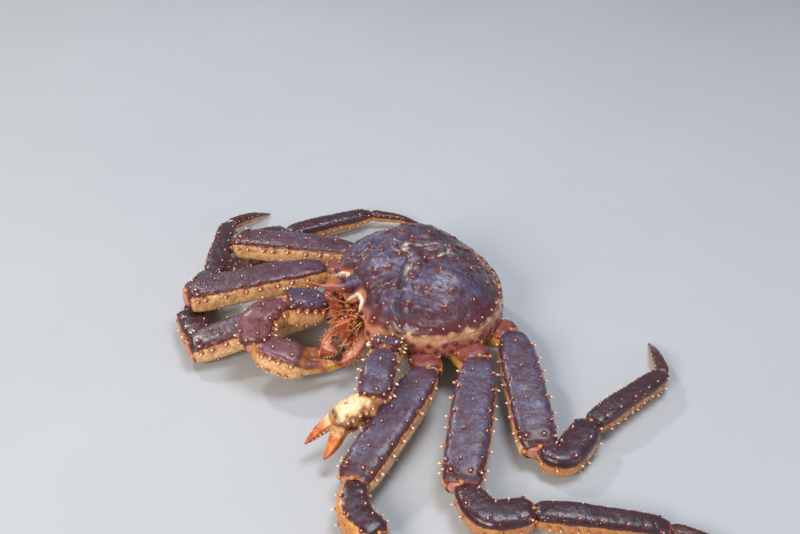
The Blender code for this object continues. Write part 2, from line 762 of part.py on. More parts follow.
def clear_of(tree, point, room):
    """Whether a point is outside a closed surface and further than room from it."""
    if tree.find_nearest(point)[3] < room:
        return False
    crossings, hit = 0, tree.ray_cast(point, UP)[0]
    while hit is not None:
        crossings += 1
        hit = tree.ray_cast(hit + UP * 0.001 * MM, UP)[0]
    return crossings % 2 == 0


def colour(part):
    material = bpy.data.materials.new(part.name)
    material.use_nodes = True
    shader = material.node_tree.nodes["Principled BSDF"]
    shader.inputs["Base Color"].default_value = (*part.colour, 1)
    shader.inputs["Roughness"].default_value = 0.4
    part.object.data.materials.clear()
    part.object.data.materials.append(material)


def main():
    for obj in list(bpy.data.objects):
        bpy.data.objects.remove(obj)
    parts = body_parts()
    for limb in CLAWS + LEGS:
        parts += limb.parts()
    parts += face_parts()
    for i, part in enumerate(parts):
        part.object = part.form.form(part.name, 0)
        cut_clear(part, parts[:i])
        rest_on_floor(part.object.data)
    for part in parts:
        if part.cutter is not None:
            remove(part.cutter)
    trees = {}
    for part in parts:
        mesh = part.object.data
        trees[part.name] = BVHTree.FromPolygons(
            [v.co.copy() for v in mesh.vertices], [list(p.vertices) for p in mesh.polygons]
        )
    draw = random.Random(SPINE_SEED)
    taken = []
    for part in parts:
        if part.spines:
            spines = clear_spines(part, parts, trees, taken, draw)
            if spines:
                apply_boolean(part.object, "UNION", spines)
        part.object.name = part.name
        colour(part)


main()
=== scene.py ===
# %% [markdown]
# # A red king crab, dressed for the camera
#
# A packed model of the crab is the fixed frame: solid pieces in their right places, with coarse
# spines. This lesson builds a finer piece over each of them and gives every piece its own finish.
# Lengths are in metres, the floor is z = 0, the crab faces -Y and its left side is +X.

# %% Loading the frame
import math

import bpy
import numpy as np
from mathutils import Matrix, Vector


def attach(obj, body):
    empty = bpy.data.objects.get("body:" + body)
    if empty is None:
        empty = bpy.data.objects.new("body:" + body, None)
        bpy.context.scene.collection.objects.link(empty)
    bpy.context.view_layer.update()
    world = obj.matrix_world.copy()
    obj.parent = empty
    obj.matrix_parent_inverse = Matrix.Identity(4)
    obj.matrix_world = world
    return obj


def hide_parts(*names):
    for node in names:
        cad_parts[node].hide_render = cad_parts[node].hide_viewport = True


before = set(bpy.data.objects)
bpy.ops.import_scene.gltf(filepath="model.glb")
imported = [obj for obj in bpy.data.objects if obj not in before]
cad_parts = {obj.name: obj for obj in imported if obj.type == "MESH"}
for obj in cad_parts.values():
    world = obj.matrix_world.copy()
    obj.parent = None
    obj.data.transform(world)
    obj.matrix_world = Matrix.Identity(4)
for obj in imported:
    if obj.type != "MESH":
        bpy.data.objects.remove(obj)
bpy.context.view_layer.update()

MM = 0.001
UP = np.array((0.0, 0.0, 1.0))
draw = np.random.default_rng(20)

# %% [markdown]
# ## Smooth curves from few numbers
#
# A leg piece is described by a handful of rows: how wide and thick it is at a few places along
# it. A cubic curve through the rows gives every place between them. It could also be a Blender
# curve object with a taper, but arrays of numbers let each later step, such as bumps and spines,
# ask where the surface is.


# %% Curves through rows
def smooth_through(table, at):
    """Values at the places given, on a smooth curve through rows of (place, value)."""
    places = np.array([row[0] for row in table], float)
    values = np.array([row[1] for row in table], float)
    last = len(places) - 1
    at = np.clip(np.asarray(at, float), places[0], places[-1])
    before = np.maximum(np.arange(last + 1) - 1, 0)
    after = np.minimum(np.arange(last + 1) + 1, last)
    slopes = (values[after] - values[before]) / (places[after] - places[before])
    i = np.clip(np.searchsorted(places, at, side="right") - 1, 0, last - 1)
    span = places[i + 1] - places[i]
    u = (at - places[i]) / span
    rise_in = slopes[i] * span
    rise_out = slopes[i + 1] * span
    step = values[i + 1] - values[i]
    bend = 3 * step - 2 * rise_in - rise_out
    return values[i] + u * rise_in + u**2 * bend + u**3 * (rise_in + rise_out - 2 * step)


def curve_through(points, count):
    """Points on a smooth curve through the given ones."""
    at = np.linspace(0, len(points) - 1, count)
    axes = [smooth_through([(k, p[axis]) for k, p in enumerate(points)], at) for axis in range(3)]
    return np.stack(axes, axis=1)


print("rows 0, 4, 1 give", smooth_through(((0, 0), (1, 4), (2, 1)), (0.5, 1.5)).tolist(), "between them")

# %% [markdown]
# ### Places and directions
#
# A maker measures a crab in millimetres, and describes how a leg lies by its bearing and its rise.
# Two small helpers turn those into Blender's metres and vectors, so the tables below stay readable.


# %% Places and directions
def place(x, y, z):
    """A point given in millimetres."""
    return np.array((x, y, z), float) * MM


def heading(bearing, rise=0.0):
    """Unit vector: bearing in degrees from the front towards the left, and rise over level."""
    turn = math.radians(bearing)
    lift = math.radians(rise)
    level = math.cos(lift)
    return np.array((math.sin(turn) * level, -math.cos(turn) * level, math.sin(lift)))


def unit(vectors):
    return vectors / np.maximum(np.linalg.norm(vectors, axis=-1, keepdims=True), 1e-12)


print("straight ahead is", heading(0).round(3).tolist(), "and to the left", heading(90).round(3).tolist())

# %% [markdown]
# ### Soft steps and ripples
#
# Shell colours fade over a millimetre or two, and no shell is quite flat. A soft step makes the
# fades. A sum of sine waves in random directions makes the unevenness: it needs no image, has no
# seams, and is the same on each run because its seed is given.

# %% Soft steps and ripples
RIPPLE_WAVES = 18


def ease(low, high, values):
    """0 below low, 1 above high, and a soft step between. low may be the larger one."""
    u = np.clip((np.asarray(values, float) - low) / (high - low), 0, 1)
    return u * u * (3 - 2 * u)


def ripple(points, size, seed):
    """A smooth random field, mostly between -1 and 1, whose bumps are about size across."""
    source = np.random.default_rng(seed)
    total = np.zeros(points.shape[:-1])
    for _ in range(RIPPLE_WAVES):
        way = unit(source.normal(size=3)) * 2 * math.pi / (size * source.uniform(0.7, 1.6))
        total += np.sin(points @ way + source.uniform(0, 2 * math.pi))
    return total / math.sqrt(RIPPLE_WAVES) * 0.62


sample = ripple(np.stack([np.linspace(0, 1, 500)] * 3, axis=1), 0.05, 1)
print("a ripple runs from", sample.min().round(2), "to", sample.max().round(2))

# %% [markdown]
# ## Growing a mesh from a grid
#
# Every shell is a grid of points wrapped round a centre line. The surface's own direction at each
# point comes from its neighbours in the grid. Moving points along it makes relief: swellings
# under the spines, dents and wrinkles. That relief is real geometry, so it also shows from the
# side. Numbers stored on the points tell the material where belly colour, halos and tips go.

# %% Grid surfaces
# One mask marks the tops of the shell, where a painted sky sheen goes; on the mouth's strands it only gives
# each strand a random tone.
MASKS = ("belly", "halo", "tip", "joint", "flush", "crest", "dark", "groove")


class Patch:
    """Points, faces and masks of a mesh that is still being made."""

    def __init__(self, points, faces, **masks):
        self.points = points
        self.faces = faces
        count = len(points)
        self.masks = {m: np.broadcast_to(masks.get(m, 0.0), count).astype(float) for m in MASKS}


def grid_faces(rows, columns):
    """Quads of a grid that closes on itself along its columns, and a cap on each end."""
    r, c = np.meshgrid(np.arange(rows - 1), np.arange(columns), indexing="ij")
    a = r * columns + c
    b = r * columns + (c + 1) % columns
    quads = np.stack([a, b, b + columns, a + columns], axis=-1).reshape(-1, 4)
    first_cap = tuple(range(columns))[::-1]
    last_cap = tuple((rows - 1) * columns + k for k in range(columns))
    return [tuple(quad) for quad in quads] + [first_cap, last_cap]


def grid_normals(grid):
    """The way that each point of a closed grid faces."""
    along = np.gradient(grid, axis=0)
    around = np.roll(grid, -1, axis=1) - np.roll(grid, 1, axis=1)
    return unit(np.cross(around, along))


print("a tube of 3 rings of 6 points has", len(grid_faces(3, 6)), "faces, caps among them")

# %% [markdown]
# ### Making a piece
#
# A real leg piece and its spines are one shell. Here they are patches that are joined into one
# mesh and made an object. It is parented to the body, and the solids that it stands for are
# hidden. It could be done with Blender's join command, but building the lists first is much
# quicker.

# %% Making a piece
PIECES = []


def join_patches(patches):
    points = np.concatenate([p.points for p in patches])
    faces = []
    start = 0
    for p in patches:
        faces += [tuple(int(v) + start for v in face) for face in p.faces]
        start += len(p.points)
    masks = {name: np.concatenate([p.masks[name] for p in patches]) for name in MASKS}
    return Patch(points, faces, **masks)


def make_piece(name, patches, material, slot, *nodes):
    """One smooth object from its patches, with its masks as attributes. It stands for the nodes."""
    whole = join_patches(patches)
    whole.points[:, 2] = np.maximum(whole.points[:, 2], 0)
    mesh = bpy.data.meshes.new(name)
    mesh.from_pydata(whole.points.tolist(), [], whole.faces)
    mesh.shade_smooth()
    for mask, values in whole.masks.items():
        layer = mesh.attributes.new(mask, "FLOAT", "POINT")
        layer.data.foreach_set("value", np.clip(values, 0, 1).astype(np.float32))
    mesh.materials.append(material)
    piece = bpy.data.objects.new(name, mesh)
    bpy.context.scene.collection.objects.link(piece)
    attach(piece, "root")
    if nodes:
        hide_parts(*nodes)
    PIECES.append(piece)
    return piece


print("masks on every piece:", ", ".join(MASKS))

# %% [markdown]
# ## A limb
#
# A crab's leg piece is a flattened tube with a blunt end. Its cross-section is a rounded box: a
# circle whose sine and cosine are raised to a power under one. The centre line may bend, which
# makes the short piece at the knee.


# %% Limbs
class Limb:
    """A piece with a curved centre line. Its profile has rows of: share of the length, half width
    and half thickness, both as shares of half."""

    def __init__(self, points, half, profile, boxy=0.56):
        self.half = half
        self.profile = profile
        self.boxy = boxy
        self.path = curve_through(points, 201)
        self.length = float(np.linalg.norm(np.diff(self.path, axis=0), axis=1).sum())

    def centre(self, share):
        at = np.clip(np.asarray(share, float), 0, 1) * (len(self.path) - 1)
        k = np.minimum(at.astype(int), len(self.path) - 2)
        rest = (at - k)[..., None]
        return self.path[k] * (1 - rest) + self.path[k + 1] * rest

    def axes(self, share):
        """Directions along, across and up at a share of the length."""
        near = 0.02
        share = np.asarray(share, float)
        along = unit(self.centre(share + near) - self.centre(share - near))
        across = unit(np.cross(along, UP))
        return along, across, np.cross(across, along)

    def halves(self, share):
        wide = smooth_through([(row[0], row[1]) for row in self.profile], share)
        thick = smooth_through([(row[0], row[2]) for row in self.profile], share)
        return wide * self.half[0], thick * self.half[1]

    def section(self, degrees):
        turn = np.radians(degrees)
        c = np.cos(turn)
        s = np.sin(turn)
        return np.sign(c) * np.abs(c) ** self.boxy, np.sign(s) * np.abs(s) ** self.boxy

    def surface(self, share, degrees):
        """Points and the way they face, for places along and degrees round: 0 edge, 90 top."""
        share, degrees = np.broadcast_arrays(np.asarray(share, float), np.asarray(degrees, float))
        _, across, up = self.axes(share)
        wide, thick = self.halves(share)
        x, y = self.section(degrees)
        x0, y0 = self.section(degrees - 4)
        x1, y1 = self.section(degrees + 4)
        out = across * ((y1 - y0) * thick)[..., None] - up * ((x1 - x0) * wide)[..., None]
        point = self.centre(share) + across * (x * wide)[..., None] + up * (y * thick)[..., None]
        return point, unit(out)


rod = Limb([place(0, 0, 0), place(0, 50, 10), place(0, 100, 0)], (9 * MM, 6 * MM), ((0, 1, 1), (1, 1, 1)))
print("a bent test limb is", round(rod.length * 1000, 1), "mm long")

# %% [markdown]
# ### Relief
#
# The shell lifts in a low mound under each spine, and the mound wears a dark halo. Between them
# run waves of several sizes: broad dents, wrinkles and fine grain. A displacement modifier could
# do this, but it would not know where the spines stand.

# %% Relief
HALO_FULL_LENGTH = 2.6 * MM


def swell_round(grid, roots, lift, halo, rise, reach, halo_reach, shade=None):
    """Lifts the surface round each root and marks its halo, paler round spines that are short."""
    for root, _, length, radius, _ in roots:
        gap = np.linalg.norm(grid - root, axis=-1) / radius
        strong = min(1.0, length / HALO_FULL_LENGTH) if shade is None else shade
        lift += rise * length * np.exp(-((gap / reach) ** 2))
        halo[:] = np.maximum(halo, strong * np.exp(-((gap / halo_reach) ** 2.4)))


def waves(points, seed, *sizes):
    """Several ripples added up. sizes are (how strong, how large in millimetres)."""
    total = 0.0
    for k, (strength, size) in enumerate(sizes):
        total = total + strength * ripple(points, size * MM, seed + k)
    return total


flat_field = np.stack([np.linspace(0, 0.1, 200), np.zeros(200), np.zeros(200)], axis=1)
print("dents 26 mm wide:", waves(flat_field, 1, (0.38, 26)).std().round(2), "mm on average")

# %% [markdown]
# ### The ends of a limb
#
# The far end of a real piece is an open rim, in which the soft skin of the joint sits, so the
# tube turns in over its rim. A toe or a finger ends in a dome instead. A few shrinking rings make
# either. A flat cap would be quicker, but its hard edge would catch the light.

# %% Rims and domes
# Rings that close an end: size as a share of the last ring, and how far out, as a share of it
END_RIM = ((0.97, 0.05), (0.86, 0.04), (0.80, -0.10), (0.5, -0.16), (0.05, -0.16))
END_DOME = ((0.96, 0.14), (0.82, 0.34), (0.55, 0.5), (0.25, 0.58), (0.04, 0.6))


def close_ends(limb, share, grid, rim, masks):
    """Adds rings that close both ends of a limb. Their masks are those of the end they close."""
    along, _, _ = limb.axes(share)
    wide, thick = limb.halves(share)
    rings = [grid]
    rows_of = {name: [values] for name, values in masks.items()}
    for end, way in ((0, -1), (-1, 1)):
        centre = limb.centre(share[end])
        deep = min(wide[end], thick[end])
        for scale, out in END_RIM if rim and way > 0 else END_DOME:
            ring = (centre + (grid[end] - centre) * scale + along[end] * way * out * deep)[None]
            rings = rings + [ring] if way > 0 else [ring] + rings
            for rows in rows_of.values():
                extra = rows[-1 if way > 0 else 0][end][None]
                rows.insert(len(rows) if way > 0 else 0, extra)
    whole = np.concatenate(rings)
    marks = {name: np.concatenate(rows).ravel() for name, rows in rows_of.items()}
    return Patch(whole.reshape(-1, 3), grid_faces(*whole.shape[:2]), **marks)


print("rings added at a rim:", len(END_RIM), "and at a dome:", len(END_DOME))

# %% [markdown]
# ### The surface of a limb
#
# A line runs along each leg piece: dark shell above it, cream below, with a faint ridge on it.
# Higher up, the top of the section gets a painted sky sheen. Each mask is a soft step of how high on
# the section a point lies, roughened by ripples so the line wanders. It could be painted on a map,
# but a rule holds for all forty pieces at once.

# %% The surface of a limb
# Waves of a leg piece: how strong and how large, in millimetres
LEG_DENTS = ((0.38, 26), (0.2, 9), (0.09, 3.4))
BELLY_LINE = 0.38


def limb_patch(
    limb, roots, stations=90, around=64, rough=1.0, seed=1, belly=True, rim=True, lean=0.0, waterline=0.0
):
    """The surface of a limb, raised under each spine. lean tips its belly up on one side, and
    waterline lifts it on both."""
    steps = np.linspace(0, 1, stations)
    share = 0.55 * steps + 0.45 * (0.5 - 0.5 * np.cos(math.pi * steps))
    degrees = np.linspace(0, 360, around, endpoint=False)
    grid, _ = limb.surface(share[:, None], degrees[None, :])
    normals = grid_normals(grid)
    side, rise = limb.section(degrees)
    height = rise[None, :] + lean * side[None, :] - waterline
    height = height + 0.06 * ripple(grid, 17 * MM, seed + 3) + 0.05 * ripple(grid, 4 * MM, seed + 4)
    # Painted sheen: the top of the section, where the sky's reflection is painted into the colour.
    crest = ease(0.45, 0.92, height + 0.12 * ripple(grid, 11 * MM, seed + 5))
    lift = waves(grid, seed, *LEG_DENTS)
    unrolled = (share[:, None] * limb.length, side[None, :] * 9 * MM, 0.0)
    flat = np.stack(np.broadcast_arrays(*unrolled), axis=-1)
    lift = lift + 0.07 * crest * ripple(flat, 5 * MM, seed + 6)
    under = np.zeros(grid.shape[:2])
    if belly:
        under = ease(0.46, 0.20, height)
        lift = lift + 0.25 * np.exp(-(((height - BELLY_LINE) / 0.14) ** 2))
    lift = lift * rough * MM
    halo = np.zeros(grid.shape[:2])
    swell_round(grid, roots, lift, halo, 0.26, 2.2, 2.1)
    grid = grid + normals * lift[..., None]
    ragged = share[:, None] + 0.012 * ripple(grid, 7 * MM, seed + 7)
    joint = np.maximum(ease(0.024, 0.0, ragged), ease(0.980, 0.996, ragged) if rim else 0)
    dark = np.maximum(0.8 * ease(0.11, 0.02, ragged), ease(0.82, 0.95, ragged))
    masks = {"belly": under, "halo": halo, "joint": joint, "crest": crest, "dark": dark}
    return close_ends(limb, share, grid, rim, masks)


print("a plain test limb has", len(limb_patch(rod, []).points), "points")

# %% [markdown]
# ## Spines
#
# The spines are what names this crab. Each is a cone that flares where it meets the shell and has
# a blunt, pale tip. One template of rings is copied to every root by matrix arithmetic, so nearly
# two thousand spines take a moment, and they stay real mesh. Instances would be lighter, but
# joined meshes are simpler to hand on to another program.

# %% Spine template
# Rows: height as a share of the length, radius as a share of the root's
SPINE_ROWS = (
    (-0.35, 1.7), (-0.1, 1.32), (0.05, 1.02), (0.22, 0.80), (0.45, 0.62),
    (0.68, 0.44), (0.86, 0.27), (0.96, 0.13), (1.0, 0.05),
)
SPINE_SIDES = 9
SPINE_BEND = 0.12


def spine_patch(roots, pale_tip=1.0):
    """All the spines of a piece. Roots: point, direction, length, radius, on pale ground or not."""
    turns = np.arange(SPINE_SIDES) * 2 * math.pi / SPINE_SIDES
    count = len(SPINE_ROWS) * SPINE_SIDES
    points, faces, pales = [], [], []
    heights = np.array([row[0] for row in SPINE_ROWS])
    widths = np.array([row[1] for row in SPINE_ROWS])
    one = grid_faces(len(SPINE_ROWS), SPINE_SIDES)
    for n, (root, lean, length, radius, pale) in enumerate(roots):
        across = unit(np.cross(lean, (0.31, 0.57, 0.76)))
        other = np.cross(lean, across)
        ring = across[None] * np.cos(turns)[:, None] + other[None] * np.sin(turns)[:, None]
        bend = across * (heights**2 * length * SPINE_BEND)[:, None]
        middle = (lean * (heights * length)[:, None] + bend)[:, None, :]
        body = root + middle + ring[None] * (widths * radius)[:, None, None]
        points.append(body.reshape(-1, 3))
        faces += [tuple(v + n * count for v in face) for face in one]
        pales.append(np.full(count, float(pale)))
    tip = np.tile(np.repeat(np.clip(heights * pale_tip, 0, 1), SPINE_SIDES), len(roots))
    halo = np.tile(np.repeat(np.clip(1 - heights * 1.6, 0, 1), SPINE_SIDES), len(roots))
    return Patch(np.concatenate(points), faces, tip=tip, halo=halo, belly=np.concatenate(pales))


print("one spine has", len(SPINE_ROWS) * SPINE_SIDES, "points")

# %% [markdown]
# ### Where spines stand on a limb
#
# The strong spines of a king crab stand in rows along each leg piece, and low tubercles are strewn
# between them. No two are alike, so each gets its own size and lean from the seeded draw. They
# could be strewn by a modifier, but then the rows would be lost.

# %% Rows and tubercles
ROW_JITTER = 4.0  # degrees by which a spine may stand off its row
PALE_BELOW = 0.35  # rows lower on the section than this stand on the pale belly


def row_roots(limb, degrees, count, length, radius, first=0.06, last=0.94, forward=0.3):
    """A row of spines along a limb, uneven as real ones are. Lengths and radii are in millimetres."""
    share = first + (last - first) * (np.arange(count) + draw.uniform(0.25, 0.75, count)) / count
    points, outs = limb.surface(share, degrees + draw.uniform(-ROW_JITTER, ROW_JITTER, count))
    along = limb.axes(share)[0]
    roots = []
    for k in range(count):
        size = draw.uniform(0.75, 1.2)
        lean = outs[k] + along[k] * forward * draw.uniform(0.2, 1.2) + draw.normal(size=3) * 0.05
        pale = math.sin(math.radians(degrees)) < PALE_BELOW
        wide = radius * (0.55 + 0.45 * size) * MM
        roots.append((points[k], unit(lean), length * size * MM, wide, pale))
    return roots


def scattered_roots(limb, low, high, count, length, radius, first=0.06, last=0.94):
    """Small tubercles strewn over part of a limb, between two angles round it."""
    share = draw.uniform(first, last, count)
    points, outs = limb.surface(share, draw.uniform(low, high, count))
    sizes = draw.uniform(0.5, 1.2, count)
    return [
        (p, unit(o + draw.normal(size=3) * 0.12), length * s * MM, radius * (0.5 + 0.5 * s) * MM, False)
        for p, o, s in zip(points, outs, sizes)
    ]


print("rows and tubercles draw from one seeded source:", draw.bit_generator.__class__.__name__)


# %% [markdown]
# ## Finishes
#
# A fresh crab is wet: a dark purple-brown shell under a thin film of water that mirrors the sky
# in soft lavender. That mirrored sky is painted into the colour of each piece's top, as a painted
# sheen. A material mixes its colours by the masks stored on the mesh: belly, halo round a spine,
# tip of a spine, the flushed rims near a joint, and the tops that carry the painted sheen. Nodes
# could be placed by hand in the shader editor. In code, one small class saves most of the typing.

# %% Node helper
class Tree:
    """Adds nodes and links to a node tree in few words."""

    def __init__(self, tree):
        self.tree = tree

    def fill(self, socket, value):
        """Links a socket to another one, or sets its value. Colours are given without alpha."""
        if isinstance(value, bpy.types.NodeSocket):
            self.tree.links.new(value, socket)
        elif isinstance(value, tuple):
            socket.default_value = (*value, 1)
        else:
            socket.default_value = value

    def add(self, kind, inputs=None, **settings):
        node = self.tree.nodes.new(kind)
        for key, value in settings.items():
            setattr(node, key, value)
        for key, value in (inputs or {}).items():
            self.fill(node.inputs[key], value)
        return node

    def math(self, operation, a, b, c=None):
        inputs = {0: a, 1: b} if c is None else {0: a, 1: b, 2: c}
        return self.add("ShaderNodeMath", inputs, operation=operation).outputs[0]

    def mix(self, factor, a, b):
        inputs = {0: factor, 6: a, 7: b}
        return self.add("ShaderNodeMix", data_type="RGBA", inputs=inputs).outputs[2]

    def span(self, value, low, high, to_low=0.0, to_high=1.0):
        inputs = {"Value": value, "From Min": low, "From Max": high, "To Min": to_low, "To Max": to_high}
        return self.add("ShaderNodeMapRange", inputs, clamp=True).outputs["Result"]

    def fixed(self, size):
        """Inputs of a texture that is fixed to the crab, with clouds or cells of that size."""
        where = self.add("ShaderNodeTexCoord").outputs["Object"]
        return {"Vector": where, "Scale": self.math("DIVIDE", 1.0, size)}

    def noise(self, fixed, detail, roughness):
        inputs = {**fixed, "Detail": detail, "Roughness": roughness}
        return self.add("ShaderNodeTexNoise", inputs).outputs["Fac"]

    def mask(self, name):
        node = self.add("ShaderNodeAttribute", attribute_name=name, attribute_type="GEOMETRY")
        return node.outputs["Fac"]


print("node helpers:", ", ".join(name for name in vars(Tree) if not name.startswith("_")))

# %% [markdown]
# ### Effects that shells share
#
# Clouds, pits and the film of water are on every shell. A node group holds such an effect once,
# and every material uses it with its own sizes. The nodes could be copied into each material
# instead, but then every change would have to be made some twenty times.

# %% Node groups
def new_group(name, inputs, output):
    """A shader node group with float inputs (name, default) and one float output."""
    group = bpy.data.node_groups.new(name, "ShaderNodeTree")
    for label, default in inputs:
        socket = group.interface.new_socket(label, in_out="INPUT", socket_type="NodeSocketFloat")
        socket.default_value = default
    group.interface.new_socket(output, in_out="OUTPUT", socket_type="NodeSocketFloat")
    tree = Tree(group)
    return group, tree, tree.add("NodeGroupInput").outputs, tree.add("NodeGroupOutput").inputs


def use_group(tree, group, **values):
    """Uses a group with values for its inputs, and gives back its output."""
    return tree.add("ShaderNodeGroup", values, node_tree=group).outputs[0]


print("node groups before the first effect:", len(bpy.data.node_groups))

# %% [markdown]
# ### Mottling
#
# The purple of the shell is cloudy at every scale, from blotches as wide as a leg to freckles. One
# group makes all of them: a noise whose edges are sharpened. Size sets how wide its clouds are,
# and Spread how soft their edges. It could be drawn by hand, but noise covers every side at once.

# %% Mottling
MOTTLING, t, entry, leave = new_group("mottling", (("Size", 0.02), ("Spread", 0.2)), "Mask")
clouds = t.noise(t.fixed(entry["Size"]), 5.0, 0.62)
low_edge = t.math("SUBTRACT", 0.5, entry["Spread"])
high_edge = t.math("ADD", 0.5, entry["Spread"])
t.fill(leave["Mask"], t.span(clouds, low_edge, high_edge))
print(MOTTLING.name, "has", len(MOTTLING.nodes), "nodes")

# %% [markdown]
# ### Pits
#
# Seen close, crab shell is pitted like orange peel. The group adds a noise to the distance from
# the middle of rounded cells, and puts out a height for a bump node. Real geometry could not be
# that fine without millions of points.

# %% Pits
PITS, t, entry, leave = new_group("shell_pits", (("Size", 0.002), ("Cells", 0.4)), "Height")
fixed = t.fixed(entry["Size"])
grain = t.noise(fixed, 4.0, 0.6)
cells = t.add("ShaderNodeTexVoronoi", fixed, feature="SMOOTH_F1")
cell_height = t.math("MULTIPLY", cells.outputs["Distance"], entry["Cells"])
t.fill(leave["Height"], t.math("ADD", grain, cell_height))
print(PITS.name, "has", len(PITS.nodes), "nodes")

# %% [markdown]
# ### The wet film
#
# Where water lies the shell is glossy, and where it has run off it is duller. So the film changes
# only the roughness, between a wet and a dry value. Water modelled as a skin of its own would be
# heavy, and would look the same from this far.

# %% Wet film
FILM_INPUTS = (("Wet", 0.2), ("Dry", 0.5), ("Size", 0.015))
WET_FILM, t, entry, leave = new_group("wet_film", FILM_INPUTS, "Roughness")
patchy = t.span(t.noise(t.fixed(entry["Size"]), 3.0, 0.55), 0.38, 0.62)
width = t.math("SUBTRACT", entry["Dry"], entry["Wet"])
t.fill(leave["Roughness"], t.math("MULTIPLY_ADD", patchy, width, entry["Wet"]))
print("shared node groups:", ", ".join(g.name for g in bpy.data.node_groups))

# %% [markdown]
# ### Colours
#
# The colours have a maker's names. They are linear values, so they look darker as numbers than
# they do on screen. They could stand in each material, but a colour that several shells share is
# better changed in one place.

# %% Colours
# Painted reflection: the next colour is the slate blue of the sky mirrored in wet tops, painted in as a
# colour.
SKY_SHEEN = (0.104, 0.110, 0.200)
PLUM = (0.100, 0.024, 0.034)
WINE = (0.140, 0.014, 0.018)
SOOT = (0.036, 0.011, 0.014)
CREAM = (0.950, 0.640, 0.280)
PEACH = (0.560, 0.235, 0.130)
IVORY = (0.930, 0.800, 0.600)
HONEY = (0.56, 0.23, 0.08)
BRICK = (0.380, 0.105, 0.035)
RUST = (0.430, 0.120, 0.035)
EMBER = (0.560, 0.110, 0.030)
AMBER = (0.680, 0.300, 0.060)
SALMON = (0.500, 0.160, 0.140)
# Painted highlight: the next colour is the pale wet glint in the grooves of the back, and also the real
# pale rim of the eye sockets.
PALE_GLINT_AND_RIM = (0.80, 0.70, 0.58)
ORANGE_RED = ((0.72, 0.20, 0.04), (0.46, 0.060, 0.014))
print("darkest", SOOT, "and palest", IVORY)

# %% [markdown]
# ### Above and below the line
#
# Above its colour line the shell is plum on its flanks and has a painted sky sheen on its tops,
# slate blue, clouded and freckled with a dark tone. Below the line it is cream with a darker cloud,
# and along the line runs an amber edge. One function mixes each side, and the belly mask chooses
# between them. A painted map would need every shell unwrapped.


# %% Upper and lower shell
def upper_colour(t, clouds, blotches, specks, crest, flank, dark, freckles):
    # Painted sheen: the first colour goes on the tops, as the sky mirrored in the wet shell.
    sheen_and_tone_share = t.math("MULTIPLY", t.mask("crest"), t.span(blotches, 0.0, 1.0, 0.55, 1.0))
    ground = t.mix(sheen_and_tone_share, flank, crest)
    ground = t.mix(t.math("MULTIPLY", clouds, 0.72), ground, t.mix(blotches, dark, flank))
    ground = t.mix(t.math("MULTIPLY", specks, freckles), ground, dark)
    ends = t.math("MULTIPLY", t.mask("dark"), t.span(clouds, 0.0, 1.0, 0.5, 1.0))
    return t.mix(ends, ground, dark)


def add_belly(t, clouds, specks, belly, ground, under, under_dark, freckles):
    pale = t.mix(t.math("MULTIPLY", clouds, 0.55), under, under_dark)
    pale = t.mix(t.math("MULTIPLY", specks, 0.92 * freckles), pale, BRICK)
    ground = t.mix(t.span(belly, 0.30, 0.62), ground, pale)
    edge = t.math("MULTIPLY", t.span(belly, 0.10, 0.38), t.span(belly, 0.95, 0.5))
    return t.mix(t.math("MULTIPLY", edge, 0.75), ground, t.mix(clouds, AMBER, BRICK))


print("the colour line lies where the belly mask is between 0.30 and 0.62")

# %% [markdown]
# ### One material for every shell
#
# All shells are one recipe with other colours, so one function makes them. The order of its mixes
# is: ground colour with a painted sky sheen on its tops, belly, the tones at joints, the pale painted
# highlight in the grooves, dark halos, and last the honey and ivory of the spines. A thin coat stands
# for the water.


# %% Shell material
def new_material(name):
    material = bpy.data.materials.new(name)
    material.use_nodes = True
    return material, Tree(material.node_tree), material.node_tree.nodes["Principled BSDF"]


def add_relief(t, shader, height, strength, depth):
    inputs = {"Height": height, "Strength": strength, "Distance": depth}
    t.fill(shader.inputs["Normal"], t.add("ShaderNodeBump", inputs).outputs["Normal"])


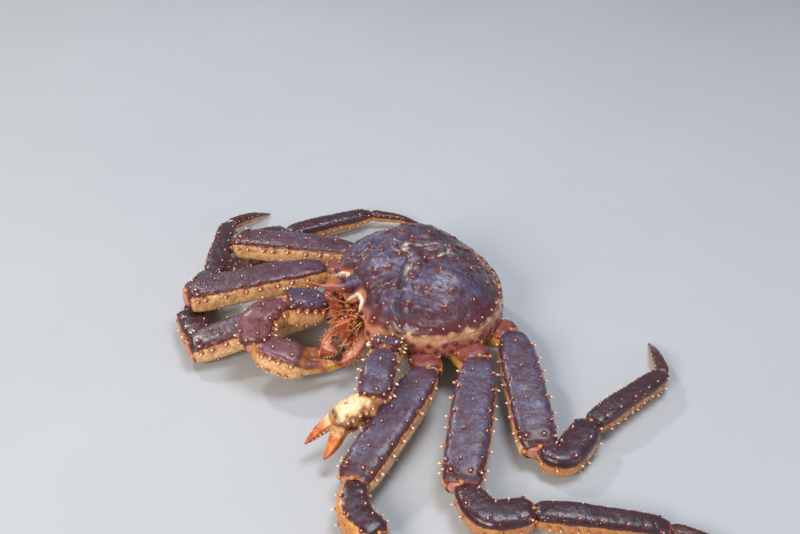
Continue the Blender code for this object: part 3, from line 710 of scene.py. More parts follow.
def shell_material(
    name, crest, flank, dark, under=CREAM, under_dark=PEACH, mound=WINE, spot=RUST,
    joint=((0.26, 0.065, 0.025), (0.11, 0.018, 0.014)), flush=(PEACH, EMBER), tip_from=0.2,
    freckles=0.5, bump=0.65, wet=0.18, dry=0.44,
):
    """Wet shell. Its first colour is a painted sky sheen on the tops; flank and dark lie above its line
    too, under and under_dark below it. mound or spot lies round a spine, whose pale tip starts at
    tip_from of its height."""
    material, t, shader = new_material(name)
    blotches = use_group(t, MOTTLING, Size=0.034, Spread=0.10)
    clouds = use_group(t, MOTTLING, Size=0.011, Spread=0.08)
    specks = use_group(t, MOTTLING, Size=0.0034, Spread=0.06)
    belly = t.mask("belly")
    ground = upper_colour(t, clouds, blotches, specks, crest, flank, dark, freckles)
    ground = add_belly(t, clouds, specks, belly, ground, under, under_dark, freckles)
    ground = t.mix(t.mask("joint"), ground, t.mix(clouds, *joint))
    ground = t.mix(t.mask("flush"), ground, t.mix(clouds, *flush))
    # Painted highlight: the pale wet glint in the grooves; on the socket beads the same mask gives their
    # real pale rim.
    ground = t.mix(t.math("MULTIPLY", t.mask("groove"), t.span(clouds, 0.0, 0.5)), ground, PALE_GLINT_AND_RIM)
    root = t.mix(t.span(belly, 0.3, 0.7), mound, spot)
    ground = t.mix(t.span(t.mask("halo"), 0.2, 0.8, 0.0, 0.92), ground, root)
    tip = t.mask("tip")
    spine = t.mix(t.span(tip, tip_from, tip_from + 0.25), root, HONEY)
    spine = t.mix(t.span(tip, tip_from + 0.16, tip_from + 0.40), spine, IVORY)
    t.fill(shader.inputs["Base Color"], t.mix(t.span(tip, 0.02, 0.12), ground, spine))
    t.fill(shader.inputs["Roughness"], use_group(t, WET_FILM, Wet=wet, Dry=dry, Size=0.010))
    wrinkles = use_group(t, PITS, Size=0.0042, Cells=0.3)
    fine = use_group(t, PITS, Size=0.0012, Cells=0.7)
    add_relief(t, shader, t.math("MULTIPLY_ADD", fine, 0.42, wrinkles), bump, 0.0010)
    shader.inputs["Coat Weight"].default_value = 0.25
    shader.inputs["Coat Roughness"].default_value = 0.22
    return material


UNDERSIDE = shell_material("underside_shell", CREAM, (0.62, 0.38, 0.20), PEACH, wet=0.4, dry=0.6)
print("a shell material has", len(UNDERSIDE.node_tree.nodes), "nodes")

# %% [markdown]
# ### Shells of back and legs
#
# The back has the bluest painted sky sheen on its tops, and wine spots with no amber in them. The
# legs that lie nearest have a slate painted sheen on their tops, the far ones a browner one, and the
# pieces from the knee on are almost black with an amber belly. One finish switched by more masks
# could hold them all, but a finish for each kind is easier to tune.

# %% Back and leg shells
# The first colour of each shell is the one on its tops, where the painted sky sheen goes.
BACK_SHELL = shell_material(
    "back_shell", (0.122, 0.136, 0.262), (0.104, 0.030, 0.048), (0.050, 0.013, 0.015),
    mound=(0.105, 0.012, 0.016), spot=(0.095, 0.014, 0.018), under=(0.82, 0.50, 0.28),
    under_dark=(0.55, 0.24, 0.13), joint=((0.50, 0.18, 0.12), (0.26, 0.070, 0.050)),
    # On the back the pale tips start high and stay small: partly the knobs' real pale tip, partly a painted
    # glint on each.
    tip_from=0.58, wet=0.15, dry=0.42,
)
LEG_SHELL = shell_material("leg_shell", SKY_SHEEN, PLUM, (0.062, 0.016, 0.022))
FAR_SHELL = shell_material(
    "far_leg_shell", (0.128, 0.088, 0.140), (0.105, 0.020, 0.026), (0.060, 0.013, 0.016)
)
FORE_SHELL = shell_material(
    "fore_leg_shell", (0.050, 0.032, 0.052), (0.074, 0.012, 0.012), SOOT,
    under=AMBER, under_dark=(0.50, 0.20, 0.07), bump=0.5, wet=0.14, dry=0.36,
)
HORN = shell_material(
    "toe_horn", (0.080, 0.024, 0.018), (0.13, 0.030, 0.015), (0.035, 0.010, 0.008),
    under=AMBER, under_dark=EMBER, bump=0.4,
)
HIP_SHELL = shell_material(
    "hip_shell", (0.38, 0.110, 0.090), (0.40, 0.130, 0.06), (0.18, 0.030, 0.03),
    under=(0.85, 0.50, 0.12), under_dark=RUST, mound=BRICK,
)
KNOB_SHELL = shell_material("joint_knobs", (0.80, 0.50, 0.20), AMBER, BRICK)
LEG_SHELLS = (LEG_SHELL, FAR_SHELL, FORE_SHELL, HORN, HIP_SHELL, KNOB_SHELL)
print("finishes of the legs:", ", ".join(shell.name for shell in LEG_SHELLS))

# %% [markdown]
# ### Shells of claws and mouth
#
# The big claw is wine and slate over cream, with brown fingers. The small one is cream with
# orange-red fingers. The mouthparts are orange and wet. They take the same recipe as the legs, so
# they still look like parts of one animal.

# %% Claw and mouth shells
BIG_CLAW = shell_material(
    "big_claw_shell", (0.20, 0.085, 0.105), (0.22, 0.040, 0.028), (0.09, 0.016, 0.018),
    under=(0.95, 0.60, 0.27), under_dark=(0.62, 0.24, 0.07),
)
BIG_PALM = shell_material(
    "big_palm_shell", (0.19, 0.135, 0.20), (0.22, 0.055, 0.045), (0.12, 0.022, 0.020),
    under=(0.95, 0.62, 0.29), under_dark=(0.70, 0.28, 0.07), joint=(AMBER, BRICK),
    flush=((0.74, 0.34, 0.10), (0.34, 0.07, 0.02)),
)
SMALL_CLAW = shell_material(
    "small_claw_shell", (0.98, 0.76, 0.44), (0.92, 0.56, 0.22), (0.11, 0.016, 0.014),
    freckles=0.14, mound=(0.58, 0.23, 0.06), spot=(0.50, 0.16, 0.05), under_dark=AMBER,
    joint=(AMBER, RUST), flush=ORANGE_RED,
)
FINGER_HORN = shell_material(
    "finger_horn", (0.95, 0.56, 0.24), (0.85, 0.38, 0.10), (0.10, 0.022, 0.010),
    mound=RUST, under_dark=AMBER, flush=ORANGE_RED,
)
BROWN_FINGER = shell_material(
    "brown_finger_horn", (0.42, 0.12, 0.045), (0.52, 0.20, 0.06), (0.16, 0.035, 0.015),
    mound=RUST, under_dark=AMBER, flush=((0.46, 0.11, 0.03), (0.16, 0.026, 0.010)),
)
MOUTH = shell_material(
    "mouthparts", (0.82, 0.30, 0.11), (0.66, 0.13, 0.045), (0.34, 0.04, 0.02),
    mound=BRICK, wet=0.2, dry=0.4,
)
JAW_SHELL = shell_material(
    "jaw_shell", (0.80, 0.42, 0.30), (0.66, 0.24, 0.12), (0.40, 0.08, 0.035),
    mound=BRICK, wet=0.2, dry=0.4,
)
CLAW_SHELLS = (BIG_CLAW, BIG_PALM, SMALL_CLAW, FINGER_HORN, BROWN_FINGER)
print("finishes of the claws:", ", ".join(shell.name for shell in CLAW_SHELLS))

# %% [markdown]
# ### Soft skin and eyes
#
# The skin in the joints is wet, pink and slightly translucent, with fine wrinkles across it. A
# little subsurface scattering softens it. The eyes are black and the glossiest thing on the crab.
# Each is its own short recipe, because neither has the shell's layers.


# %% Skin and eye materials
def skin_material():
    material, t, shader = new_material("joint_skin")
    clouds = use_group(t, MOTTLING, Size=0.008, Spread=0.25)
    t.fill(shader.inputs["Base Color"], t.mix(clouds, SALMON, (0.62, 0.30, 0.22)))
    t.fill(shader.inputs["Roughness"], use_group(t, WET_FILM, Wet=0.22, Dry=0.42, Size=0.006))
    add_relief(t, shader, use_group(t, PITS, Size=0.0012, Cells=0.9), 0.35, 0.0006)
    shader.inputs["Subsurface Weight"].default_value = 0.15
    shader.inputs["Subsurface Scale"].default_value = 0.004
    return material


def eye_material():
    material, t, shader = new_material("eye_black")
    facets = use_group(t, MOTTLING, Size=0.0015, Spread=0.2)
    ball = t.mix(facets, (0.008, 0.006, 0.006), (0.03, 0.015, 0.01))
    t.fill(shader.inputs["Base Color"], t.mix(t.mask("flush"), ball, (0.55, 0.16, 0.05)))
    t.fill(shader.inputs["Roughness"], use_group(t, WET_FILM, Wet=0.08, Dry=0.16, Size=0.004))
    shader.inputs["Coat Weight"].default_value = 0.8
    return material


JOINT_SKIN = skin_material()
EYE = eye_material()
print(len(bpy.data.materials), "materials so far, the frame's own among them")


# %% [markdown]
# ## The carapace
#
# The back of a king crab is one broad, domed shell. Its outline is a rounded heart, widest behind
# the middle and narrower at the face. It could be sculpted from a sphere, but an outline written
# as shares of the half width, by degrees from the nose, is the same on both sides and easy to
# change.

# %% Outline of the back
SHELL_HALF_WIDTH = 105 * MM
SHELL_OUTLINE = (
    (0, 0.80), (20, 0.82), (38, 0.87), (60, 0.92), (85, 0.98),
    (105, 1.00), (130, 0.95), (155, 0.88), (180, 0.83),
)


def shell_radius(degrees):
    """How far the margin is from the middle, at degrees from the nose."""
    return smooth_through(SHELL_OUTLINE, np.abs(degrees)) * SHELL_HALF_WIDTH


def polar(radius, degrees):
    return radius * np.sin(np.radians(degrees)), -radius * np.cos(np.radians(degrees))


print("nose, side and rear at", (shell_radius([0, 105, 180]) / MM).round(1).tolist(), "mm from the middle")

# %% [markdown]
# ### Grooves
#
# Grooves part the back into the regions over stomach, heart and gills. Each is drawn as a line on
# one side and mirrored. Its section is a valley with a low bank on each side, and a ripple makes
# the line wander. Carving them by hand would leave the two sides different.

# %% Grooves
# Points from the middle outwards, depth and half width, all in millimetres
GROOVES = (
    (((0, -9), (17, -12), (33, -24), (42, -33), (60, -41), (76, -46)), 4.2, 3.6),
    (((17, -12), (19, 2), (13, 18), (8, 34), (9, 52), (14, 70)), 2.6, 2.6),
    (((34, -26), (30, -42), (27, -58), (26, -72)), 2.2, 3.0),
    (((8, 34), (0, 37)), 1.8, 2.6),
    (((42, -33), (38, -48), (44, -62)), 1.5, 3.2),
)
FAR_AWAY = 1.0


def gap_to_line(x, y, line):
    """Distance from places to a line through the points given."""
    nearest = np.full(np.shape(x), FAR_AWAY)
    for (ax, ay), (bx, by) in zip(line[:-1], line[1:]):
        dx, dy = bx - ax, by - ay
        u = np.clip(((x - ax) * dx + (y - ay) * dy) / (dx * dx + dy * dy), 0, 1)
        nearest = np.minimum(nearest, np.hypot(x - ax - u * dx, y - ay - u * dy))
    return nearest


def groove_depth(x, y):
    """Depth of the grooves at places on the back, and how much each place is in one, from 0 to 1."""
    wander = 1.8 * MM * ripple(np.stack([x, y, 0 * x], -1), 20 * MM, 5)
    depth = np.zeros(np.shape(x))
    inside = np.zeros(np.shape(x))
    for line, deep, width in GROOVES:
        line = [(a * MM, b * MM) for a, b in line]
        gap = gap_to_line(np.abs(x) + wander, y + wander, line) / (width * MM)
        depth += deep * MM * (np.exp(-np.abs(gap) ** 1.6) - 0.4 * np.exp(-((gap - 2.2) ** 2)))
        inside = np.maximum(inside, np.exp(-((gap / 0.75) ** 2)))
    return depth, inside


groove_middle = groove_depth(np.array(33 * MM), np.array(-24 * MM))[0] / MM
print("the deepest groove goes down", groove_middle.round(1), "mm")

# %% [markdown]
# ### Lobes
#
# Between the grooves the shell swells in lobes: the stomach's in front, a large one over the
# gills on each side and a small one behind the middle. Each is a soft bump added to the dome, so
# the whole back is one height over each place of the outline. Modelled by hand, every lobe would
# need its own loops of edges.

# %% Lobes and height
SHELL_TOP = 105 * MM
SHELL_MARGIN = 63 * MM
LOBE_ROOM = 6 * MM
SHELL_REAR_DROP = 9 * MM
# Side offset, place along Y, half width, half length, height, all in millimetres
LOBES = (
    (0, -34, 27, 30, 9.0), (50, 28, 30, 40, 9.0), (0, 38, 15, 16, 4.0), (55, -38, 20, 20, 4.0),
)
HOLLOW = (16, 6, 12, 7, -4.0)


def lobe_share(x, y, lobe):
    """1 in the middle of a lobe, fading to 0 beyond its edge."""
    across, along, wide, long, _ = lobe
    return np.exp(-(((np.abs(x) / MM - across) / wide) ** 2) - ((y / MM - along) / long) ** 2)


def shell_height(x, y):
    """Height of the back over the floor, with its lobes and grooves."""
    degrees = np.degrees(np.arctan2(np.abs(x), -y))
    out = np.minimum(np.hypot(x, y) / shell_radius(degrees), 1)
    z = SHELL_MARGIN + (SHELL_TOP - SHELL_MARGIN - LOBE_ROOM) * (1 - out**2.6) ** 0.8
    for lobe in (*LOBES, HOLLOW):
        z = z + lobe[4] * MM * lobe_share(x, y, lobe)
    z = z - SHELL_REAR_DROP * np.maximum(y / shell_radius(180.0), 0) ** 1.5
    return z - groove_depth(x, y)[0] * ease(1.0, 0.9, out)


print("top of the gill lobe at", (shell_height(0.050, 0.028) / MM).round(1), "mm")

# %% [markdown]
# ### Where the spines of the back stand
#
# The strongest spines of the back stand round its margin, and others in rings over the lobes.
# Small ones are strewn between. Placing each by hand would take an hour; here every ring gets a
# spacing in degrees, and each spine is nudged a little so that none looks copied.

# %% Spines of the back
FACE_HALF = 34  # degrees on each side of the nose that carry no margin spines
GRANULES_ON_BACK = 150
# Share of the outline, degrees between spines, first one, length in millimetres
LOBE_RINGS = (
    (0.80, 24, 6, 3.4), (0.62, 30, 15, 3.8), (0.44, 40, 8, 4.0), (0.27, 60, 20, 4.2), (0.12, 120, 45, 3.8),
)


def back_root(share, degrees, length, radius, outward):
    """A spine's root on the back. outward leans it away from the middle."""
    turn = math.radians(degrees)
    r = float(shell_radius(degrees)) * share
    x, y = r * math.sin(turn), -r * math.cos(turn)
    z = float(shell_height(np.array(x), np.array(y)))
    level = np.array((math.sin(turn), -math.cos(turn), 0))
    lean = unit(UP + level * outward + draw.normal(size=3) * 0.07)
    size = draw.uniform(0.75, 1.2)
    return np.array((x, y, z)), lean, length * size * MM, radius * (0.6 + 0.4 * size) * MM, False


margin_spines = []
for degrees in range(-174, 180, 9):
    if abs(degrees) > FACE_HALF:
        margin_spines.append(back_root(0.955, degrees + draw.uniform(-2, 2), 4.4, 3.0, 1.0))
lobe_spines = []
for share, step, start, length in LOBE_RINGS:
    for degrees in range(start - 180, 180, step):
        spot = share * draw.uniform(0.92, 1.08)
        lobe_spines.append(back_root(spot, degrees + draw.uniform(-7, 7), length * 0.9, 2.3, 0.2))
small_spines = []
for _ in range(GRANULES_ON_BACK):
    spot = math.sqrt(draw.uniform(0.01, 0.84))
    small_spines.append(back_root(spot, draw.uniform(-180, 180), 1.3, 0.8, 0.2))
print(len(margin_spines), "spines on the margin,", len(lobe_spines), "over the lobes")

# %% [markdown]
# ### The wall and the brow
#
# The dome turns over at its margin into a side wall. Within the mouth's opening it tucks inwards
# instead and forms the roof over eyes and mouth, so the wall ends in a free edge on each side of
# the face. Over each eye the brow is notched back, and the eye's socket lies there. Two rules and
# a soft change from one to the other spare cutting a mouth into a finished mesh.

# %% Wall and brow
# Rows of the wall: how far down it, share of the outline, height in millimetres
WALL_ROWS = (
    (0.0, 1.0, 63), (0.2, 1.007, 59), (0.4, 1.017, 54), (0.6, 1.026, 48.5),
    (0.78, 1.024, 43), (0.9, 1.008, 38.5), (1.0, 0.975, 36),
)
MOUTH_TOP = 60 * MM
EYE_BEARING = 17.0
EYE_NOTCH = 11.0 * MM


def wall_point(u, degrees):
    """Point on the side wall: u runs from the margin, 0, to the lower edge, 1."""
    share = smooth_through([(row[0], row[1]) for row in WALL_ROWS], u)
    z = smooth_through([(row[0], row[2] * MM) for row in WALL_ROWS], u)
    x, y = polar(share * shell_radius(degrees), degrees)
    return np.stack(np.broadcast_arrays(x, y, z), axis=-1)


def brow_point(u, degrees):
    """Point under the brow: u runs from the margin, 0, inwards to the back of the mouth, 1."""
    share = 1.0 - 0.36 * u**1.2
    z = SHELL_MARGIN + (MOUTH_TOP - SHELL_MARGIN) * ease(0.0, 0.35, u) - 0.5 * MM
    x, y = polar(share * shell_radius(degrees), degrees)
    return np.stack(np.broadcast_arrays(x, y, z), axis=-1)


def over_eyes(degrees, wide):
    """1 over the middle of each eye's socket, 0 away from it."""
    return np.exp(-(((np.abs(degrees) - EYE_BEARING) / wide) ** 4))


def eye_notch(degrees):
    """How far the brow is notched back over each eye."""
    return EYE_NOTCH * over_eyes(degrees, 7.5)


wall_rise = wall_point(0.0, 90.0)[2] - wall_point(1.0, 90.0)[2]
print("the wall is", round(float(wall_rise / MM), 1), "mm high")

# %% [markdown]
# ### Spokes and rings
#
# The carapace's mesh is a grid in spokes. Each spoke runs from the middle of the back over the
# margin and down the wall, so the fine relief has points everywhere. A sphere would have its
# poles and seams in the wrong places.

# %% Grid of the carapace
SPOKES = 288
DOME_RINGS = 96
WALL_STEPS = 34
TUCKED_FROM, TUCKED_TO = 34.0, 27.0  # degrees from the nose: here the tuck begins and is complete

degrees = (np.arange(SPOKES) + 0.5) * 360 / SPOKES - 180
ring_share = np.linspace(0.012, 1.0, DOME_RINGS) ** 0.86
radii = ring_share[:, None] * (shell_radius(degrees) - eye_notch(degrees))[None, :]
x, y = polar(radii, degrees[None, :])
dome = np.stack([x, y, shell_height(x, y)], axis=-1)
dip = 5.0 * MM * ease(0.80, 1.0, ring_share)
dome[..., 2] -= dip[:, None] * over_eyes(degrees, 8.5)[None, :]

u = np.linspace(0, 1, WALL_STEPS + 1)[1:, None]
tuck = ease(TUCKED_FROM, TUCKED_TO, np.abs(degrees))[None, :, None]
notch = np.stack([*polar(-eye_notch(degrees), degrees), 0 * degrees], axis=-1)[None]
brow = brow_point(u, degrees[None, :]) + notch * (1 - u[..., None])
wall = wall_point(u, degrees[None, :]) * (1 - tuck) + brow * tuck
grid = np.concatenate([dome, wall])
print("carapace grid:", grid.shape[0], "rings of", grid.shape[1], "spokes")

# %% [markdown]
# ### Tubercles of the wall
#
# The side wall has its own low tubercles, in three lines, each in a dark spot. They lie flatter
# than the spines of the back, so their roots get a level direction. A scatter modifier would strew
# them too, but not in lines.

# %% Tubercles of the wall
WALL_FACE_HALF = 36
# How far down the wall each line is, and how many degrees it is shifted along it
WALL_LINES = ((0.46, 0), (0.68, 4), (0.90, 0))
wall_roots = []
for degree in range(-171, 180, 8):
    if abs(degree) < WALL_FACE_HALF:
        continue
    for down, shift in WALL_LINES:
        at = down + draw.uniform(-0.07, 0.07)
        turn = degree + shift + draw.uniform(-1.5, 1.5)
        level = np.array((math.sin(math.radians(turn)), -math.cos(math.radians(turn)), 0.25))
        size = draw.uniform(0.6, 1.15)
        point = wall_point(np.array(at), np.array(turn))
        wall_roots.append((point, unit(level), 1.9 * size * MM, 2.0 * (0.3 + 0.7 * size) * MM, True))
print(len(wall_roots), "tubercles on the wall")

# %% [markdown]
# ### Relief of the carapace
#
# Dents, lumps and grain of three sizes cover the shell, and every spine stands on a mound of its
# own. The mounds are broader here than on the legs. They could be sculpted, but then a spine that
# moves would leave its mound behind.

# %% Relief of the carapace
BACK_DENTS = ((0.6, 30), (0.5, 10), (0.2, 4))
# Roots, rise of the mound as a share of the spine, its reach as a share of the radius, its shade
MOUNDS = (
    (margin_spines, 0.45, 2.8, 1.0),
    (lobe_spines, 0.42, 2.7, 1.0),
    (small_spines, 0.3, 1.8, 0.5),
    (wall_roots, 0.4, 2.0, 1.0),
)
normals = -grid_normals(grid)  # this grid runs outwards, so its neighbours give the inner side
lift = MM * waves(grid, 11, *BACK_DENTS)
halo = np.zeros(grid.shape[:2])
for roots, rise, reach, shade in MOUNDS:
    swell_round(grid, roots, lift, halo, rise, reach, reach, shade)
grid = grid + normals * lift[..., None]
print("the relief moves points by up to", (np.abs(lift).max() / MM).round(1), "mm")

# %% [markdown]
# ### Where the carapace changes colour
#
# The dark colour of the back stops at a wandering line just above its margin, and the wall below
# is cream. It is orange in front. The sockets under the brow get painted shade, and a pale rim.
# Each mask is a soft step of height or bearing. Vertex paint could do it, but would be lost when
# the grid changes.

# %% Colour masks of the carapace
BACK_LINE = 67.5


def dome_and_wall(on_dome, on_wall=0.0):
    """A mask from its values on the dome and on the wall."""
    values = np.zeros(grid.shape[:2])
    values[:DOME_RINGS] = on_dome
    values[DOME_RINGS:] = on_wall
    return values


height = grid[..., 2] / MM
front = ease(62, 30, np.abs(degrees))[None, :]
# The sockets under the brow get painted shade, through the dark mask below.
socket = over_eyes(degrees, 9.0)
line = BACK_LINE - 1.5 * front + waves(grid, 14, (2.3, 15), (1.2, 4.5))
belly = ease(0.8, -0.8, height - line + 2.5 * halo * (height > 61))
belly[: DOME_RINGS // 2] = 0
belly[DOME_RINGS:] *= 1 - socket
socket_rim = over_eyes(degrees, 9.5)[None, :] * ease(0.90, 0.985, ring_share)[:, None]
belly[:DOME_RINGS] = np.maximum(belly[:DOME_RINGS], socket_rim)

brow_flush = 0.7 * ease(0.88, 0.98, ring_share)[:, None] * front
flush = dome_and_wall(brow_flush, 0.85 * front * (1 - socket))
low = ease(61, 52, height + 1.5 * ripple(grid, 12 * MM, 17)) * (1 - front)
print("share of the carapace below its line:", (belly > 0.5).mean().round(2))

# %% [markdown]
# The masks of the back alone come next. A lobe's crest is where its bump is high, and there the
# sky's sheen is painted into the colour. Near the middle the grooves get a pale painted highlight,
# their wet glint, and further out painted shade, as in any crease. The rear of the back is darkest.
# These tones too could be painted, but here they follow the lobes by themselves.

# %% Crests, grooves and the dark rear
x, y = dome[..., 0], dome[..., 1]
inside = groove_depth(x, y)[1]
from_middle = np.hypot(x, y - 4 * MM)
# Painted highlight: a pale wet glint in the grooves near the middle of the back.
groove = dome_and_wall(inside * ease(52 * MM, 18 * MM, from_middle))
rear = ease(0, 55 * MM, y - 0.5 * x - 6 * MM * ripple(dome, 24 * MM, 19))
# Painted shade: dark in the grooves and on the wall in the eye sockets under the brow; the back is also
# darker towards its rear.
dark = dome_and_wall(np.maximum(rear, 0.8 * inside), socket)
# Painted sheen: the lobe tops, where the sky mirrored in the wet back is painted into the colour.
swell = sum(lobe_share(x, y, lobe) for lobe in LOBES)
swell = swell + 0.22 * ripple(dome, 18 * MM, 16) + 0.12 * ripple(dome, 7 * MM, 18)
crest = dome_and_wall(ease(0.12, 0.72, swell))
print("mean crest and groove on the back:", crest[:DOME_RINGS].mean().round(2), groove.mean().round(3))

# %% [markdown]
# ### Closing it below
#
# The legs and the sternum fill the space under the shell, so nobody looks in. Still the mesh is
# closed, because a closed mesh has a volume, and other programs ask for that. Two more rings run
# inwards under the body, and the last one is capped. A solidify modifier would close it too, but
# with twice the faces.

# %% Closing the carapace
BELOW = {"belly": 1.0, "flush": 0.3, "joint": 0.3}  # the masks of the closing rings
lower_edge = wall_point(np.array(1.0), degrees)[None] * np.array((0.6, 0.6, 1.0))
under = lower_edge * (1 - tuck) + (grid[-1:] + (0, 0, 1.5 * MM)) * tuck
grid = np.concatenate([grid, under, under * np.array((0.05, 0.05, 1.0))])
marks = {"belly": belly, "halo": halo, "flush": flush, "joint": low}
marks.update(groove=groove, dark=dark, crest=crest)
for name, values in marks.items():
    rings = np.full((2, SPOKES), BELOW.get(name, 0.0))
    marks[name] = np.concatenate([values, rings]).ravel()
back = Patch(grid.reshape(-1, 3), grid_faces(len(grid), SPOKES), **marks)
print("the back has", len(back.points), "points")

# %% [markdown]
# ### The rostrum
#
# Between the eyes the brow runs out into the rostrum, a stout spine with a pair of smaller ones
# beside it and one on its back. It is the crab's nose and is sharp in life. Strong spines also
# arm the brow's outer corners. The rostrum is a small limb, so the tools for legs make it.

# %% Rostrum and brow spines
ROSTRUM_PATH = [place(0, -66, 78), place(0, -84, 77), place(0, -104, 82)]
NEEDLE_TAPER = ((0, 1, 1), (0.35, 0.8, 0.8), (0.7, 0.5, 0.5), (1, 0.16, 0.16))
# Spines at the brow's corners: place, bearing, rise, length, radius
BROW_SPINES = (
    (40, -76, 67, 32, 20, 9.0, 2.6), (54, -66, 65.5, 46, 18, 8.0, 2.6), (47, -73, 65, 38, 15, 5.0, 2.0),
)
rostrum = Limb(ROSTRUM_PATH, (11 * MM, 8 * MM), NEEDLE_TAPER)
nose = limb_patch(rostrum, [], stations=30, around=32, seed=31, belly=False, rim=False)
nose.masks["joint"][:] = 0
nose.masks["flush"] = ease(-78 * MM, -98 * MM, nose.points[:, 1]) * 0.8
brow_roots = []
for x, y, z, bearing, rise in ((0, 4, 5, 0, 62), (-9, 6, 1, -32, 26), (9, 6, 1, 32, 26)):
    point = rostrum.centre(0.55) + place(x, y, z)
    brow_roots.append((point, heading(bearing, rise), 11.0 * MM, 2.6 * MM, False))
for side in (-1, 1):
    for x, y, z, bearing, rise, length, radius in BROW_SPINES:
        way = heading(bearing * side, rise)
        brow_roots.append((place(x * side, y, z), way, length * MM, radius * MM, False))
print(len(brow_roots), "spines on the rostrum and the brow")

# %% [markdown]
# ### Eye sockets
#
# A low bead runs round each notch in the brow and makes the pale ring of the socket. It could be
# raised from the grid, but the spokes are too far apart for so thin a ring. So it is a thin limb,
# laid along the notch. Then the whole carapace becomes one piece.

# %% Sockets and the finished carapace
BEAD_TURNS = np.array((8.5, 11.0, 14.0, 17.5, 21.0, 24.0, 26.5))
orbits = []
for side in (-1, 1):
    turns = side * BEAD_TURNS
    x, y = polar(shell_radius(turns) - eye_notch(turns), turns)
    z = shell_height(x, y) - 4.0 * MM * over_eyes(turns, 8.5) + 0.8 * MM
    path = [np.array(point) for point in zip(x, y, z)]
    bead = Limb(path, (2.3 * MM, 2.3 * MM), ((0, 0.6, 0.6), (0.5, 1, 1), (1, 0.6, 0.6)))
    orbit = limb_patch(bead, [], stations=50, around=16, rough=0.4, seed=33, belly=False, rim=False)
    orbit.masks["belly"][:] = 1
    orbit.masks["groove"][:] = 0.85
    orbits.append(orbit)
spines = spine_patch(margin_spines + lobe_spines + brow_roots)
low_spines = [spine_patch(small_spines), spine_patch(wall_roots, 0.72)]
carapace_patches = [back, nose, *orbits, spines, *low_spines]
carapace = make_piece("shell_back", carapace_patches, BACK_SHELL, "shell", "carapace")
print("carapace:", len(carapace.data.vertices), "points")


# %% [markdown]
# ## Joints
#
# Between two pieces of a leg lies a cushion of soft pink skin, held by hard yellow knobs on which
# the joint turns. They are small, but they are the brightest spots on the crab. A Blender sphere
# would do for each. Here they are grids like the rest, so they carry the same masks.

# %% Skin and knobs
SKIN_WRINKLE = 0.03


def ball_patch(centre, axes, sizes, rows=18, around=28, wrinkle=0.0, seed=1):
    """A rounded lump: axes are three directions, sizes their half lengths."""
    v = np.linspace(-math.pi / 2 * 0.98, math.pi / 2 * 0.98, rows)[:, None]
    turn = np.linspace(0, 2 * math.pi, around, endpoint=False)[None, :]
    rise = np.sin(v) * np.ones_like(turn)
    local = np.stack([np.cos(v) * np.cos(turn), np.cos(v) * np.sin(turn), rise], -1)
    size = 1 + wrinkle * np.sin(local[..., 2] * 16 + ripple(local, 0.9, seed))
    grid = centre + (local * np.array(sizes) * size[..., None]) @ np.array(axes)
    return Patch(grid.reshape(-1, 3), [face[::-1] for face in grid_faces(rows, around)])


def joint_patches(limb, after, seed):
    """Skin and knobs where a limb ends and the next one starts."""
    along, across, up = limb.axes(1.0)
    middle = limb.centre(1.0)
    wide, thick = limb.halves(1.0)
    axes = (across, up, along)
    sizes = (wide * 0.88, thick * 0.88, thick * 0.55)
    skin = ball_patch(middle - along * 0.5 * MM, axes, sizes, wrinkle=SKIN_WRINKLE, seed=seed)
    neck_along, neck_across, neck_up = after.axes(0.02)
    neck_wide, neck_thick = after.halves(0.02)
    neck_axes = (neck_across, neck_up, neck_along)
    neck_sizes = (neck_wide * 0.92, neck_thick * 0.92, neck_thick * 0.7)
    neck = ball_patch(after.centre(0.02), neck_axes, neck_sizes, wrinkle=SKIN_WRINKLE, seed=seed + 1)
    knobs = []
    for side, rise in ((-0.95, 0.25), (0.95, 0.25), (0.0, 0.95)):
        spot = middle + across * side * wide + up * rise * thick + along * 0.6 * MM
        knobs.append(ball_patch(spot, axes, (wide * 0.17, thick * 0.2, thick * 0.26), rows=10, around=16))
    return [skin, neck], knobs


def dress_joints(name, limbs, seed):
    """One piece of skin and one of knobs for all the joints of a limb. The toe's has no knobs."""
    skins, knobs = [], []
    for k in range(len(limbs) - 1):
        skin, three = joint_patches(limbs[k], limbs[k + 1], seed + k)
        skins += skin
        if k < 3:
            knobs += three
    make_piece(name + "_skin", skins, JOINT_SKIN, "joint_skin")
    make_piece(name + "_knobs", knobs, KNOB_SHELL, "joint_skin")


lump = ball_patch(place(0, 0, 0), np.eye(3), (1, 1, 1))
print("a cushion of skin has", len(lump.points), "points")

# %% [markdown]
# ## Walking legs
#
# Three pairs of legs carry the crab: hip, long merus, short carpus at the knee, long propodus and
# the toe, called dactylus. Every kind of piece has a profile, which swells and narrows along it
# as the real one does. One leg could be modelled and copied, but the six differ in size and bend.

# %% Profiles of the leg pieces
MERUS_PROFILE = (
    (0, 0.46, 0.55), (0.04, 0.66, 0.80), (0.12, 0.86, 0.95), (0.3, 1, 1), (0.6, 1.02, 1),
    (0.86, 0.98, 1), (0.96, 0.90, 0.94), (1, 0.74, 0.72),
)
CARPUS_PROFILE = (
    (0, 0.5, 0.55), (0.12, 0.8, 0.85), (0.4, 1, 1), (0.75, 1.02, 1), (0.94, 0.88, 0.9), (1, 0.66, 0.68),
)
PROPODUS_PROFILE = (
    (0, 0.55, 0.6), (0.06, 0.86, 0.9), (0.25, 1, 1), (0.6, 0.92, 0.9), (0.9, 0.84, 0.82), (1, 0.55, 0.55),
)
DACTYLUS_PROFILE = (
    (0, 0.6, 0.6), (0.08, 1, 1), (0.35, 0.86, 0.9), (0.65, 0.62, 0.66), (0.88, 0.34, 0.36), (1, 0.12, 0.14),
)
BASE_PROFILE = (
    (0, 0.8, 0.8), (0.3, 1, 1), (0.55, 0.86, 0.95), (0.7, 1, 1), (0.92, 1, 0.96), (1, 0.78, 0.74),
)
